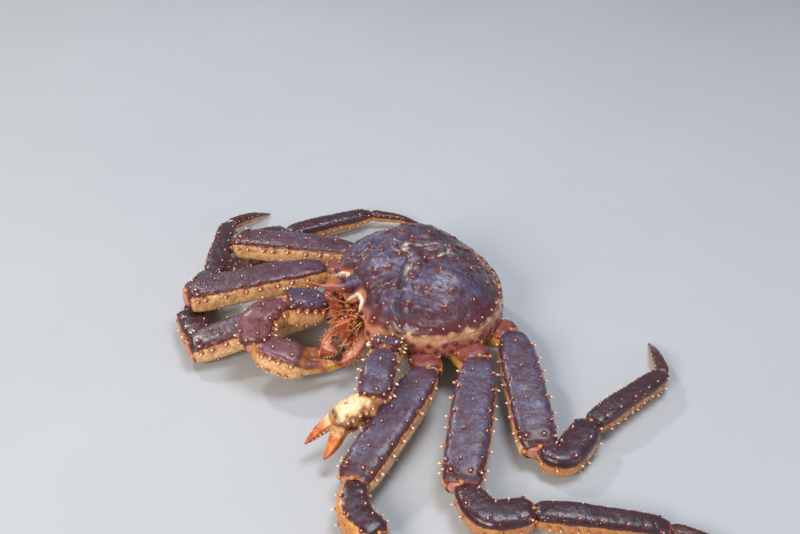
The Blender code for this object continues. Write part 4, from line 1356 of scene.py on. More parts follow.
HALVES = {
    "base": (17 * MM, 12 * MM), "merus": (21 * MM, 14 * MM), "carpus": (16.5 * MM, 12.5 * MM),
    "propodus": (13 * MM, 11 * MM), "dactylus": (7 * MM, 6.5 * MM),
}
print("kinds of leg piece:", ", ".join(HALVES))

# %% [markdown]
# ### How the legs lie
#
# The left legs are spread and the right ones folded flat. Each leg is a chain of lengths, each
# with a bearing and a rise. An armature could pose them, but in a table every angle is in sight.
# The swing bows the knee outwards, and the inset slides the knee piece back into the merus, where
# the leg is folded hard.

# %% How the legs lie
# Root on the body, start of the merus, scale, (bearing, rise) of each piece, swing, inset
LEGS = {
    "leg_left_1": (
        place(44, -22, 22), place(122, -32, 38), 0.96, ((42, -6), (92, -3), (80, -3), (110, -9)), 0.22, 0,
    ),
    "leg_left_2": (
        place(48, 6, 22), place(125, 23, 39), 1.0, ((60.5, -6), (135, -2), (155, -4), (140, -8)), 0.3, 0,
    ),
    "leg_left_3": (
        place(44, 34, 22), place(93, 74, 36), 0.97, ((75, -7), (194, -2), (200.5, 0), (250, -9)), 0.3, 0,
    ),
    "leg_right_1": (
        place(-44, -26, 22), place(-30, -97, 33), 0.96,
        ((1.5, -6.5), (-98, -2), (-139, 0), (-158, -9)), 0, 13,
    ),
    "leg_right_2": (
        place(-48, 2, 22), place(-82, -79, 42), 1.0,
        ((-2.5, -1), (-125, -15), (-111, -1), (-149, -11)), 0, 13,
    ),
    "leg_right_3": (
        place(-44, 34, 22), place(-110, -34, 36), 0.97,
        ((-36, -4), (-173, -7), (-173, -1), (-204, -11)), 0, 13,
    ),
}
print("legs:", ", ".join(LEGS))

# %% [markdown]
# ### From the table to limbs
#
# Each piece starts where the last one ends, and the toe ends on the floor. The centre lines are
# bowed a little, because no leg piece is quite straight. Straight ones would be simpler, but they
# look like pipes.

# %% The chain of each leg
LENGTHS = (160 * MM, 68 * MM, 120 * MM, 72 * MM)
TIP_HEIGHT = 2.2 * MM


def leg_limbs(root, hip, scale, ways, swing, inset):
    """The five limbs of a leg, from the body outwards."""
    joints = [hip]
    for length, way in zip(LENGTHS, ways):
        joints.append(joints[-1] + heading(*way) * length * scale)
    hip, knee, wrist, ankle, tip = joints
    tip[2] = TIP_HEIGHT
    half = {name: (wide * scale, thick * scale) for name, (wide, thick) in HALVES.items()}
    thigh_way = unit(knee - hip)
    start = knee - thigh_way * inset * MM
    push = thigh_way * swing * np.linalg.norm(wrist - knee)
    merus_path = [hip, (hip + knee) / 2 + UP * 2 * MM, knee]
    carpus_path = [start, start * 0.58 + wrist * 0.42 + push, wrist]
    propodus_path = [wrist, (wrist + ankle) / 2 + UP * 1.5 * MM, ankle]
    dactylus_path = [ankle, ankle * 0.45 + tip * 0.55 + UP * 3 * MM, tip]
    return {
        "base": Limb([root, (root + hip) / 2, hip], half["base"], BASE_PROFILE),
        "merus": Limb(merus_path, half["merus"], MERUS_PROFILE),
        "carpus": Limb(carpus_path, half["carpus"], CARPUS_PROFILE),
        "propodus": Limb(propodus_path, half["propodus"], PROPODUS_PROFILE),
        "dactylus": Limb(dactylus_path, half["dactylus"], DACTYLUS_PROFILE),
    }


LEG_LIMBS = {name: leg_limbs(*values) for name, values in LEGS.items()}
spans = [sum(limb.length for limb in limbs.values()) for limbs in LEG_LIMBS.values()]
print("legs from root to toe, in mm:", [round(span / MM) for span in spans])

# %% [markdown]
# ### Spines of a leg
#
# A strong row stands along each edge of a leg piece, on the line where purple meets cream.
# Shorter spines follow in rows on the top, and a crown of them points forward over each joint.
# Fine tubercles fill the rest. They could be scattered alone, but the rows are what makes a leg
# read as this crab's.

# %% Leg spines
# Rows by kind of piece: degrees round, count, length and radius in millimetres
SPINE_ROWS_OF = {
    "base": ((40, 3, 2.4, 1.4), (140, 3, 2.4, 1.4)),
    "merus": (
        (12, 7, 3.8, 2.0), (168, 7, 3.8, 2.0), (50, 5, 2.8, 1.2), (88, 4, 2.6, 1.2),
        (130, 5, 2.8, 1.2), (-28, 5, 1.8, 1.1), (208, 5, 1.8, 1.1),
    ),
    "carpus": (
        (-2, 5, 4.6, 1.5), (168, 4, 3.0, 1.8), (60, 3, 3.0, 1.3), (112, 3, 3.0, 1.3),
        (-25, 3, 1.8, 1.1), (205, 3, 1.8, 1.1),
    ),
    "propodus": (
        (-4, 9, 4.2, 1.2), (162, 8, 2.4, 1.4), (62, 5, 2.4, 1.1), (118, 5, 2.4, 1.1),
        (-20, 6, 1.6, 1.0), (200, 6, 1.6, 1.0),
    ),
    "dactylus": ((30, 5, 1.4, 0.8), (150, 5, 1.4, 0.8)),
}
# Spines over the joint: their length, and the degrees round at which they stand
CROWNS = {
    "merus": (3.4, (8, 38, 68, 100, 132, 172)),
    "carpus": (3.2, (35, 145)),
    "propodus": (2.4, (35, 145)),
}
GRANULES = {"base": 8, "merus": 34, "carpus": 14, "propodus": 24, "dactylus": 8}


def limb_roots(limb, kind, last=0.92):
    """Roots of the strong spines and of the fine tubercles of a limb."""
    first = 0.3 if kind == "base" else 0.08
    last = 0.6 if kind == "dactylus" else last
    strong = []
    for row in SPINE_ROWS_OF[kind]:
        strong += row_roots(limb, *row, first=first, last=last)
    length, turns = CROWNS.get(kind, (0, ()))
    for turn in turns:
        strong += row_roots(limb, turn, 1, length, length * 0.5, first=0.92, last=0.95, forward=0.9)
    fine = scattered_roots(limb, 5, 175, GRANULES[kind], 0.9, 0.6, first=first)
    return strong, fine


print("rows of spines by kind:", {kind: len(rows) for kind, rows in SPINE_ROWS_OF.items()})

# %% [markdown]
# ### Dressing the legs
#
# Each leg lies rolled a little to one side, so its cream belly shows more on that side. The outer
# pieces of the left legs are rolled further and show a narrow amber belly. Turning the limbs
# themselves would move their spines, so only the colour line is tipped. Every solid gets its finer
# shell here, and the joints get their skin and knobs.

# %% Legs
# How far the belly tips up on one side, and how much higher it starts
BELLY_LEAN = {
    "leg_left_1": 0.22, "leg_left_2": 0.06, "leg_left_3": -0.10,
    "leg_right_1": 0.30, "leg_right_2": 0.32, "leg_right_3": 0.32,
}
OUTER_BELLY = {"leg_left_1": (-0.80, 0.04), "leg_left_2": (-0.24, -0.24), "leg_left_3": (-0.16, -0.32)}
# Finish, slot and rings of each kind of piece
LEG_FINISH = {
    "base": (HIP_SHELL, "joint_skin"),
    "merus": (LEG_SHELL, "limb_shell"),
    "carpus": (FORE_SHELL, "limb_shell"),
    "propodus": (FORE_SHELL, "limb_shell"),
    "dactylus": (HORN, "tip_horn"),
}
STATIONS = {"base": 60, "merus": 150, "carpus": 80, "propodus": 110, "dactylus": 60}


def dress_limb(name, kind, limb, material, slot, seed, lean=0.0, waterline=0.0):
    strong, fine = limb_roots(limb, kind)
    skin = limb_patch(
        limb, strong + fine, stations=STATIONS[kind], around=72, seed=seed,
        rim=kind != "dactylus", lean=lean, waterline=waterline,
    )
    make_piece(name + "_shell", [skin, spine_patch(strong), spine_patch(fine)], material, slot, name)


for n, (name, limbs) in enumerate(LEG_LIMBS.items()):
    for k, (kind, limb) in enumerate(limbs.items()):
        finish, slot = LEG_FINISH[kind]
        if kind == "merus" and "right" in name:
            finish = FAR_SHELL
        outer = kind in ("carpus", "propodus") and name in OUTER_BELLY
        belly_line = OUTER_BELLY[name] if outer else (BELLY_LEAN[name], 0.0)
        dress_limb(f"{name}_{kind}", kind, limb, finish, slot, 100 + 20 * n + 4 * k, *belly_line)
    dress_joints(name, list(limbs.values()), 300 + n)
print(len(PIECES), "pieces after the legs")

# %% [markdown]
# ## Claws
#
# The right claw is the stronger one, as in all crabs of this kind, and lies folded before the
# mouth. The left one is slender, cream and orange, and its fingers gape. The palm ends in a fixed
# finger, and the other finger is hinged beside it. A claw is a chain like a leg, but its joints
# are given as places, because it is bent round the face.

# %% Claw sizes
CLAWS = {
    "claw_right": dict(
        root=place(-26, -44, 26), shoulder=place(-13, -100, 43), elbow=place(-15, -146, 56),
        wrist=place(26, -188, 40), knuckle=place(53, -146, 28),
        tips=(place(58, -100, 19), place(42, -102, 22)),
        sizes=((19, 17), (18.5, 16), (18, 15.5), (9, 8)),
        fore=BIG_CLAW, palm=BIG_PALM, finger=BROWN_FINGER, waterline=0.22,
    ),
    "claw_left": dict(
        root=place(30, -40, 26), shoulder=place(77, -58, 45), elbow=place(103, -73, 58),
        wrist=place(155, -101, 50), knuckle=place(157, -140, 36),
        tips=(place(160, -173, 22), place(182, -161, 18)),
        sizes=((17, 15), (17, 15), (14.5, 12.5), (7.5, 6.5)),
        fore=LEG_SHELL, palm=SMALL_CLAW, finger=FINGER_HORN, waterline=0.0,
    ),
}
PALM_PROFILE = ((0, 0.5, 0.6), (0.14, 0.82, 0.86), (0.5, 1, 1), (0.85, 0.98, 0.96), (1, 0.8, 0.8))


def finger_limb(root, tip, across, half):
    start = root + across
    bow = start * 0.45 + tip * 0.55 + across * 0.28
    return Limb([start, bow, tip], half, DACTYLUS_PROFILE)


def claw_limbs(claw):
    """The limbs of a claw, from the body outwards. fixed is the finger that the palm ends in."""
    arm, fore, palm, finger = [(w * MM, t * MM) for w, t in claw["sizes"]]
    places = ("root", "shoulder", "elbow", "wrist", "knuckle")
    root, shoulder, elbow, wrist, knuckle = [claw[k] for k in places]
    turn = unit(elbow - shoulder) * 0.22 * np.linalg.norm(wrist - elbow)
    hand_way = unit(knuckle - wrist)
    hand = Limb([wrist, (wrist + knuckle) / 2, knuckle], palm, PALM_PROFILE)
    across = hand.axes(0.9)[1] * palm[0] * 0.48
    return {
        "base": Limb([root, (root + shoulder) / 2, shoulder], arm, BASE_PROFILE),
        "merus": Limb([shoulder, (shoulder + elbow) / 2, elbow], arm, CARPUS_PROFILE),
        "carpus": Limb([elbow, elbow * 0.55 + wrist * 0.45 + turn, wrist], fore, CARPUS_PROFILE),
        "palm": hand,
        "fixed": finger_limb(knuckle - hand_way * 12 * MM, claw["tips"][0], across, finger),
        "finger": finger_limb(knuckle - hand_way * 3 * MM, claw["tips"][1], -across, finger),
    }


CLAW_LIMBS = {name: claw_limbs(claw) for name, claw in CLAWS.items()}
print("palms in mm:", [round(limbs["palm"].length / MM) for limbs in CLAW_LIMBS.values()])

# %% [markdown]
# ### Teeth and red fingers
#
# The biting edges carry blunt pale teeth, largest in the middle of the finger. They are spines
# with a short, wide shape, set on the side that faces the other finger. They could be cut into
# the finger's edge, but as spines they need only a place and a size. The fingers redden towards
# their dark tips, which are worn horn.

# %% Fingers
SPINE_ROWS_OF.update(
    arm=(
        (8, 4, 4.4, 2.2), (172, 4, 4.4, 2.2), (50, 3, 3.0, 1.5), (92, 2, 2.8, 1.4),
        (132, 3, 3.0, 1.5), (-30, 3, 2.2, 1.3), (210, 3, 2.2, 1.3),
    ),
    palm=(
        (20, 4, 3.2, 1.9), (165, 5, 3.0, 1.9), (200, 4, 2.6, 1.7), (-20, 4, 2.6, 1.7),
        (80, 2, 1.8, 1.3), (120, 2, 1.8, 1.3),
    ),
    finger=((90, 2, 1.0, 0.8),),
)
CROWNS["arm"] = (3.6, (24, 72, 118, 158))
GRANULES.update(arm=14, palm=6, finger=3)
STATIONS.update(arm=80, palm=90, finger=60)
TEETH = 6
TOOTH = 1.5 * MM


def teeth_patch(limb, degrees):
    """A row of teeth along a finger, at degrees round it."""
    share = 0.3 + 0.58 * (np.arange(TEETH) + 0.5) / TEETH
    points, outs = limb.surface(share, np.full(TEETH, float(degrees)))
    sizes = TOOTH * (1.1 - 0.9 * np.abs(np.linspace(-1, 1, TEETH)) * 0.6)
    return spine_patch([(p, o, s, s, True) for p, o, s in zip(points, outs, sizes)])


def finger_parts(limb, seed, red_from):
    """Skin, strong spines and fine ones of a finger, red from a share of its length to its tip."""
    strong, fine = limb_roots(limb, "finger")
    stations = STATIONS["finger"]
    skin = limb_patch(limb, strong + fine, stations=stations, around=40, seed=seed, rim=False)
    along = np.linspace(0, 1, len(skin.points))
    tip = ease(0.80, 0.93, along)
    skin.masks["flush"] = 0.95 * ease(red_from, red_from + 0.28, along) * (1 - 0.9 * tip)
    skin.masks["belly"] *= 1 - tip
    skin.masks["dark"] = np.maximum(skin.masks["dark"] * 0.3, tip)
    return skin, strong, fine


print(TEETH, "teeth on each finger")

# %% [markdown]
# ### The palms
#
# Both palms are amber at their ends. The left one also wears a wine-dark patch on its outer side.
# Such a patch could be painted by hand; here it is a soft step of how far round the palm a point
# lies, with a ripple in its edge.

# %% Palms
PATCH_SIDE = unit(np.array((1.0, 0.0, -0.35)))  # the way that the middle of the dark patch faces


def palm_parts(name, hand, seed):
    """Skin, strong spines and fine ones of a palm."""
    strong, fine = limb_roots(hand, "palm", last=0.9)
    waterline = CLAWS[name]["waterline"]
    skin = limb_patch(
        hand, strong + fine, stations=STATIONS["palm"], around=72, seed=seed + 9,
        rim=False, waterline=waterline,
    )
    way = hand.axes(0.5)[0]
    from_middle = skin.points - hand.centre(0.55)
    along = from_middle @ way
    if name == "claw_left":
        side = unit(from_middle - along[:, None] * way) @ PATCH_SIDE
        wine = ease(0.45, 0.70, side + 0.15 * ripple(skin.points, 7 * MM, seed))
        wine = wine * ease(17 * MM, 12 * MM, np.abs(along - 1 * MM))
        skin.masks["belly"] *= 1 - wine
        skin.masks["dark"] = np.maximum(skin.masks["dark"], wine)
    ragged = np.abs(along) + 1.5 * MM * ripple(skin.points, 9 * MM, seed + 1)
    ends = ease(0.60, 0.85, ragged / (np.ptp(along) / 2))
    skin.masks["joint"] = np.maximum(skin.masks["joint"], 0.8 * ends)
    return skin, strong, fine


# Kind of piece, the kind whose spines it has, its slot, and what is added to the claw's seed
CLAW_ARM = (
    ("base", "base", "joint_skin", 4),
    ("merus", "arm", "limb_shell", 5),
    ("carpus", "arm", "limb_shell", 6),
)
for n, (name, limbs) in enumerate(CLAW_LIMBS.items()):
    claw = CLAWS[name]
    seed = 500 + 40 * n
    arm_finish = {"base": HIP_SHELL, "merus": LEG_SHELL, "carpus": claw["fore"]}
    for kind, as_kind, slot, more in CLAW_ARM:
        dress_limb(f"{name}_{kind}", as_kind, limbs[kind], arm_finish[kind], slot, seed + more)
    palm, strong, fine = palm_parts(name, limbs["palm"], seed)
    fixed, fixed_strong, fixed_fine = finger_parts(limbs["fixed"], seed + 10, 0.3)
    spines = [spine_patch(strong + fixed_strong), spine_patch(fine + fixed_fine)]
    patches = [palm, fixed, *spines, teeth_patch(limbs["fixed"], 180)]
    make_piece(name + "_palm_shell", patches, claw["palm"], "claw_shell", name + "_palm")
    finger, strong, fine = finger_parts(limbs["finger"], seed + 11, 0.22)
    patches = [finger, spine_patch(strong + fine), teeth_patch(limbs["finger"], 0)]
    make_piece(name + "_finger_shell", patches, claw["finger"], "tip_horn", name + "_finger")
    dress_joints(name, [limbs[k] for k in ("base", "merus", "carpus", "palm")], seed + 20)
print(len(PIECES), "pieces after the claws")

# %% [markdown]
# ## Underside
#
# The legs hinge on the sternum, a hard plate of four segments. The tail is folded forward under
# the body as a flap of overlapping plates. The crab lies on it. Both are seen only from low down,
# so each is one flat limb with grooves pressed across it.

# %% Sternum and tail
STERNUM_PROFILE = (
    (0, 0.5, 0.7), (0.1, 0.68, 1), (0.35, 0.9, 1), (0.65, 1, 1), (0.9, 0.8, 1), (1, 0.6, 0.7),
)
TAIL_PROFILE = (
    (0, 0.25, 0.8), (0.12, 0.5, 1), (0.4, 0.85, 1), (0.75, 1, 1), (0.93, 0.8, 1), (1, 0.5, 0.8),
)


def plated_patch(limb, plates, depth, seed):
    """A limb whose surface is parted into overlapping plates by grooves across it."""
    patch = limb_patch(limb, [], stations=110, around=80, seed=seed, belly=False, rim=False)
    along = (patch.points[:, 1] - patch.points[:, 1].min()) / np.ptp(patch.points[:, 1])
    saw = (along * plates) % 1
    centre = limb.centre(0.5)
    shrink = 1 - depth * np.exp(-((saw / 0.09) ** 2)) - 0.3 * depth * saw
    patch.points[:, 0] *= shrink
    patch.points[:, 2] = centre[2] + (patch.points[:, 2] - centre[2]) * shrink
    patch.masks["joint"] = np.exp(-((saw / 0.08) ** 2)) * 0.5
    return patch


sternum_path = [place(0, -64, 24), place(0, 0, 24), place(0, 84, 24)]
sternum = Limb(sternum_path, (52 * MM, 11.7 * MM), STERNUM_PROFILE, boxy=0.45)
sternum_patch = plated_patch(sternum, 4, 0.06, 700)
make_piece("sternum_plate", [sternum_patch], UNDERSIDE, "underside", "sternum")
tail_path = [place(0, -36, 4), place(0, 10, 4), place(0, 70, 4)]
tail = Limb(tail_path, (40 * MM, 7.6 * MM), TAIL_PROFILE, boxy=0.5)
tail_patch = plated_patch(tail, 6, 0.07, 710)
tail_patch.points[:, 2] -= 0.4 * MM  # settles it on the floor
make_piece("tail_flap", [tail_patch], UNDERSIDE, "underside", "abdomen")
print("the tail is", round(tail.length / MM), "mm long")

# %% [markdown]
# ## The face
#
# Under the brow sit the eyes on short stalks: black domes on an orange neck. A sphere on a tube
# would do, but a limb whose profile widens at its end is one closed shell without a seam.

# %% Eyes
EYE_PROFILE = ((0, 0.7, 0.7), (0.5, 0.6, 0.6), (0.66, 1, 1), (0.88, 0.9, 0.9), (1, 0.4, 0.4))


def eye_patch(side):
    path = [place(9 * side, -68, 51), place(12 * side, -80, 56), place(15 * side, -90, 61)]
    stalk = Limb(path, (4 * MM, 4 * MM), EYE_PROFILE)
    patch = limb_patch(stalk, [], stations=50, around=36, rough=0.2, seed=800, belly=False, rim=False)
    patch.masks["joint"][:] = 0
    patch.masks["flush"] = ease(-88 * MM, -84 * MM, patch.points[:, 1])
    return patch


print("an eye has", len(eye_patch(1).points), "points")

# %% [markdown]
# ### Feelers
#
# A crab has two pairs of feelers. The long ones start stout, with a few pegs, and go on as a thin
# ringed whip. A curve with a bevel could make them, but not their rings, so they are limbs whose
# points are drawn in at every ring.

# %% Feelers
FEELER_TAPER = (
    (0, 1, 1), (0.3, 0.85, 0.85), (0.42, 0.5, 0.5), (0.5, 0.25, 0.28), (0.75, 0.2, 0.22), (1, 0.1, 0.1),
)
FEELERS = {
    "left": [
        place(20, -68, 47), place(30, -88, 52), place(40, -106, 55), place(58, -124, 52),
        place(74, -136, 44),
    ],
    "right": [
        place(-20, -68, 47), place(-27, -86, 54), place(-33, -100, 60), place(-40, -112, 62),
        place(-48, -122, 60),
    ],
}
PATH_STEPS = 200


def ringed(limb, patch, rings, depth):
    """Rings a thin limb with fine grooves, as a feeler is."""
    middle = limb.centre(np.linspace(0, 1, PATH_STEPS))
    gaps = np.linalg.norm(patch.points[:, None] - middle[None], axis=-1)
    at = gaps.argmin(axis=1) / (PATH_STEPS - 1)
    centre = limb.centre(at)
    size = 1 - depth * (0.5 - 0.5 * np.cos(2 * math.pi * at * rings))
    patch.points[:] = centre + (patch.points - centre) * size[:, None]
    patch.masks["joint"][:] = 0
    return patch


def two_rows(limb, low, high, length, radius, first, last):
    """Two rows of four spines along a limb, at low and high degrees round it."""
    rows = [row_roots(limb, turn, 4, length, radius, first=first, last=last) for turn in (low, high)]
    return rows[0] + rows[1]


def short_feeler_patch(side):
    path = [place(7 * side, -68, 50), place(8 * side, -88, 54), place(9 * side, -102, 66)]
    feeler = Limb(path, (2.2 * MM, 2.2 * MM), NEEDLE_TAPER)
    patch = limb_patch(feeler, [], stations=60, around=16, rough=0.2, seed=810, belly=False, rim=False)
    return ringed(feeler, patch, 9, 0.12)


def long_feeler_patches(path):
    feeler = Limb(path, (4.2 * MM, 3.6 * MM), FEELER_TAPER)
    patch = limb_patch(feeler, [], stations=160, around=18, rough=0.3, seed=820, belly=False, rim=False)
    pegs = two_rows(feeler, 40, 140, 3.2, 1.3, first=0.05, last=0.36)
    return [ringed(feeler, patch, 34, 0.10), spine_patch(pegs)]


for side, name in ((1, "left"), (-1, "right")):
    make_piece("eye_ball_" + name, [eye_patch(side)], EYE, "eye", "eye_" + name)
    short = [short_feeler_patch(side)]
    make_piece("short_feeler_" + name, short, MOUTH, "mouthparts", "antennule_" + name)
    long = long_feeler_patches(FEELERS[name])
    make_piece("long_feeler_" + name, long, MOUTH, "mouthparts", "antenna_" + name)
print(len(PIECES), "pieces with eyes and feelers")

# %% [markdown]
# ### Bristles
#
# Bristles are thin tapering hairs, each a tube of four sides that bends on its way. They are
# mesh, like everything else here, because hair systems don't survive an export.

# %% Hairs
HAIR_ROWS = 6
HAIR_SIDES = 4


def hair_patch(starts, ways, lengths, thick, droop, seed):
    """Thin bent hairs, closed tubes of four sides."""
    source = np.random.default_rng(seed)
    heights = np.linspace(0, 1, HAIR_ROWS)
    turns = np.arange(HAIR_SIDES) * 2 * math.pi / HAIR_SIDES
    width = thick * (1 - 0.8 * heights)
    patches = []
    for start, way, length in zip(starts, ways, lengths):
        bend = unit(source.normal(size=3)) * 0.35 - UP * droop
        line = start + way * (heights * length)[:, None] + bend * (heights**2 * length * 0.5)[:, None]
        across = unit(np.cross(way, (0.2, 0.4, 0.9)))
        other = np.cross(way, across)
        ring = across * np.cos(turns)[:, None] + other * np.sin(turns)[:, None]
        body = line[:, None] + ring[None] * width[:, None, None]
        patches.append(Patch(body.reshape(-1, 3), grid_faces(HAIR_ROWS, HAIR_SIDES)))
    return join_patches(patches)


def tuft(count, box, ways, lengths, thick, droop, seed):
    """Hairs strewn over a box, all pointing forward. ways are the mean and spread of each axis, and
    all lengths are in millimetres."""
    starts = np.stack([draw.uniform(*side, count) for side in box], -1) * MM
    x, y, z = [draw.normal(*way, count) for way in ways]
    lie = unit(np.stack([x, -np.abs(y), z], -1))
    return hair_patch(starts, lie, draw.uniform(*lengths, count) * MM, thick * MM, droop, seed)


print("a hair has", HAIR_ROWS * HAIR_SIDES, "points")

# %% [markdown]
# ### Mouthparts
#
# The mouth is a tangle of orange palps, which are little jointed arms, with bristles and looser
# strands between them. A core fills the space behind. Modelling each arm would show no more at
# this size, so they are plain thin limbs that bend inwards, with seeded hairs over them.

# %% Mouth
MOUTH_PROFILE = (
    (0, 0.55, 0.55), (0.08, 0.85, 0.85), (0.25, 1, 1), (0.75, 1, 1), (0.92, 0.85, 0.85), (1, 0.55, 0.55),
)
JAW_PROFILE = ((0, 1, 1), (0.3, 1, 1), (0.55, 0.85, 0.85), (0.75, 1, 1), (0.9, 0.75, 0.75), (1, 0.4, 0.4))
# Palps on both sides: offset from the middle, height, reach, half thickness
PAIRED_PALPS = (
    (5, 49, 22, 2.6), (11, 44, 26, 3.0), (5, 37, 24, 3.2),
    (15, 36, 28, 3.0), (18, 50, 20, 2.6), (10, 30, 22, 2.8),
)
# Palps that reach out to the left: place of the tip, half thickness
LEFT_PALPS = (
    (40, -96, 26, 3.0), (30, -98, 33, 2.8), (46, -88, 28, 2.6), (22, -100, 38, 2.6), (36, -90, 38, 2.4),
)
BRISTLES = 700
STRANDS = 190


def palp_patch(path, thick, seed):
    palp = Limb(path, (thick * MM, thick * MM), JAW_PROFILE)
    return limb_patch(palp, [], stations=34, around=18, rough=0.8, seed=seed, belly=False, rim=False)


core_path = [place(0, -40, 42), place(0, -62, 42), place(0, -76, 42)]
mouth_core = Limb(core_path, (25 * MM, 15 * MM), MOUTH_PROFILE)
core = limb_patch(mouth_core, [], stations=60, around=64, rough=3.0, seed=830, belly=False, rim=False)
palps = []
for side in (-1, 1):
    for x, z, reach, thick in PAIRED_PALPS:
        root = place(x * side, -70, z)
        bow = place(x * side * 1.15, -70 - reach * 0.6, z + 1)
        tip = place(x * side * 0.7, -70 - reach, z - 5)
        palp = palp_patch([root, bow, tip], thick, 840 + x + z)
        palp.masks["joint"][:] = 0
        palps.append(palp)
for x, y, z, thick in LEFT_PALPS:
    path = [place(x * 0.4, -68, z + 4), place(x * 0.8, -80, z + 5), place(x, y, z)]
    palps.append(palp_patch(path, thick, 880 + x))
bristle_box = ((-24, 24), (-96, -74), (26, 58))
bristles = tuft(BRISTLES, bristle_box, ((0, 0.5), (0.7, 0.3), (0, 0.5)), (5, 13), 0.3, 0.2, 850)
strand_box = ((-20, 40), (-92, -72), (28, 60))
strands = tuft(STRANDS, strand_box, ((0.2, 0.55), (0.8, 0.3), (0.05, 0.5)), (10, 24), 1.05, 0.3, 851)
points_each = len(strands.points) // STRANDS
strands.masks["crest"] = np.repeat(draw.uniform(0, 1, STRANDS), points_each)
strands.masks["belly"] = np.repeat(draw.uniform(0, 1, STRANDS) < 0.25, points_each).astype(float)
mouth = [core, *palps, bristles, strands]
make_piece("mouth_plates", mouth, MOUTH, "mouthparts", "mouth_frame")
print(len(palps), "palps,", BRISTLES, "bristles and", STRANDS, "strands")

# %% [markdown]
# ### Jaw legs
#
# The outer jaws, the maxillipeds, are small legs with a knobbed knee. A comb of stiff bristles
# runs along their inner side, with which the crab sorts its food. They could be modelled apart,
# but as limbs with hairs they need only a path and a profile.

# %% Jaw legs
JAWS = {
    "left": [
        place(16, -62, 33), place(40, -74, 34), place(56, -86, 34), place(64, -96, 33), place(66, -106, 30),
    ],
    "right": [
        place(-8, -62, 33), place(8, -90, 31), place(20, -106, 31), place(36, -114, 29),
        place(46, -106, 26),
    ],
}
COMBED = 170
for name, points in JAWS.items():
    jaw = Limb(points, (6 * MM, 5 * MM), JAW_PROFILE)
    roots = two_rows(jaw, 60, 120, 1.6, 1.0, first=0.3, last=0.8)
    skin = limb_patch(jaw, roots, stations=90, around=32, rough=0.8, seed=860, belly=False, rim=False)
    share = draw.uniform(0.35, 0.98, COMBED)
    starts, outs = jaw.surface(share, draw.uniform(150, 390, COMBED))
    ways = unit(outs + draw.normal(size=(COMBED, 3)) * 0.25)
    comb = hair_patch(starts, ways, draw.uniform(2, 7, COMBED) * MM, 0.4 * MM, 0.1, 870)
    patches = [skin, spine_patch(roots), comb]
    make_piece("jaw_leg_" + name, patches, JAW_SHELL, "mouthparts", "maxilliped_" + name)
print(len(PIECES), "pieces,", sum(len(p.data.polygons) for p in PIECES), "faces in all")


# %% [markdown]
# ## The floor
#
# The crab lies on a plain pale floor, which catches its shadow. It is one square, so large that
# its edge is outside the camera's view. A low camera would need a backdrop that curves up behind
# the crab, but this one looks down. Faint, wide clouds in the paint keep the floor from looking
# like paper.

# %% Floor
FLOOR_HALF = 4.0
corners = [(x * FLOOR_HALF, y * FLOOR_HALF, 0) for x, y in ((-1, -1), (1, -1), (1, 1), (-1, 1))]
floor_mesh = bpy.data.meshes.new("floor")
floor_mesh.from_pydata(corners, [], [(0, 1, 2, 3)])
floor = bpy.data.objects.new("floor", floor_mesh)
bpy.context.scene.collection.objects.link(floor)
floor.location.z = -0.3 * MM
floor_material, t, shader = new_material("floor_paint")
clouds = use_group(t, MOTTLING, Size=0.4, Spread=0.4)
t.fill(shader.inputs["Base Color"], t.mix(clouds, (0.44, 0.46, 0.48), (0.50, 0.52, 0.54)))
shader.inputs["Roughness"].default_value = 0.6
floor_mesh.materials.append(floor_material)
print("floor:", 2 * FLOOR_HALF, "m wide")

# %% [markdown]
# ## Light
#
# Four round panels and a dim blue sky light the crab. A cool panel overhead stands for open sky,
# and a warm one in front shows the face. A small lamp on the far side puts glints on wet tips,
# and a weak one behind the crab keeps its near legs from going black. Sunlight would be simpler,
# but its shadows are harder than those of a cloudy day.

# %% Sky and panels
SKY_COLOUR = (0.80, 0.86, 1.0, 1)
SKY_STRENGTH = 0.29
AIM = (0.02, -0.02, 0.05)
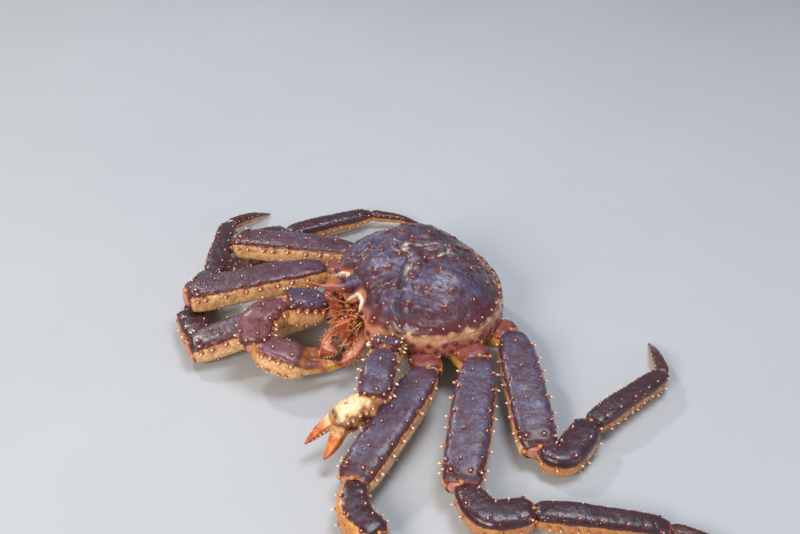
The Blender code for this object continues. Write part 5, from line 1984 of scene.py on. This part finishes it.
# Place, size, power in watts, colour
PANELS = {
    "sky_panel": ((-0.1, 0.5, 2.1), 0.9, 26, (0.86, 0.91, 1.0)),
    "front_panel": ((1.2, -1.5, 1.2), 0.9, 36, (1.0, 0.93, 0.84)),
    "glint_lamp": ((-1.5, -0.7, 1.5), 0.22, 15, (1.0, 0.97, 0.92)),
    "side_panel": ((1.5, 1.4, 0.8), 0.9, 5, (1.0, 0.94, 0.86)),
}
world = bpy.data.worlds.new("soft_sky")
world.use_nodes = True
sky = world.node_tree.nodes["Background"]
sky.inputs["Color"].default_value = SKY_COLOUR
sky.inputs["Strength"].default_value = SKY_STRENGTH
bpy.context.scene.world = world
for name, (location, size, power, colour) in PANELS.items():
    light = bpy.data.lights.new(name, "AREA")
    light.shape = "DISK"
    light.size = size
    light.energy = power
    light.color = colour
    lamp = bpy.data.objects.new(name, light)
    lamp.location = location
    lamp.rotation_euler = (Vector(AIM) - Vector(location)).to_track_quat("-Z", "Y").to_euler()
    bpy.context.scene.collection.objects.link(lamp)
print("lamps:", ", ".join(PANELS))

# %% [markdown]
# ## The camera
#
# The camera hangs 0.70 m up and looks down 34.5 degrees at the crab's left side. In a view 800
# pixels wide, a focal length of 1000 pixels is a 45 mm lens on a 36 mm sensor. The height and the
# heading come from the lengths of the near and far legs, which have to come out equal.

# %% Camera
CAMERA_AT = (0.839, -0.324, 0.70)
LOOK_DOWN = 34.5
LOOK_AZIMUTH = 70.0
camera_data = bpy.data.cameras.new("camera")
camera_data.sensor_width = 36
camera_data.lens = 45
camera = bpy.data.objects.new("camera", camera_data)
camera.location = CAMERA_AT
camera.rotation_euler = (math.radians(90 - LOOK_DOWN), 0, math.radians(LOOK_AZIMUTH))
bpy.context.scene.collection.objects.link(camera)
bpy.context.scene.camera = camera
bpy.context.scene.view_settings.view_transform = "Standard"
bpy.context.scene.view_settings.exposure = 0.0
print("camera at", CAMERA_AT, "looking down", LOOK_DOWN, "degrees")

# %% [markdown]

# %% [markdown]
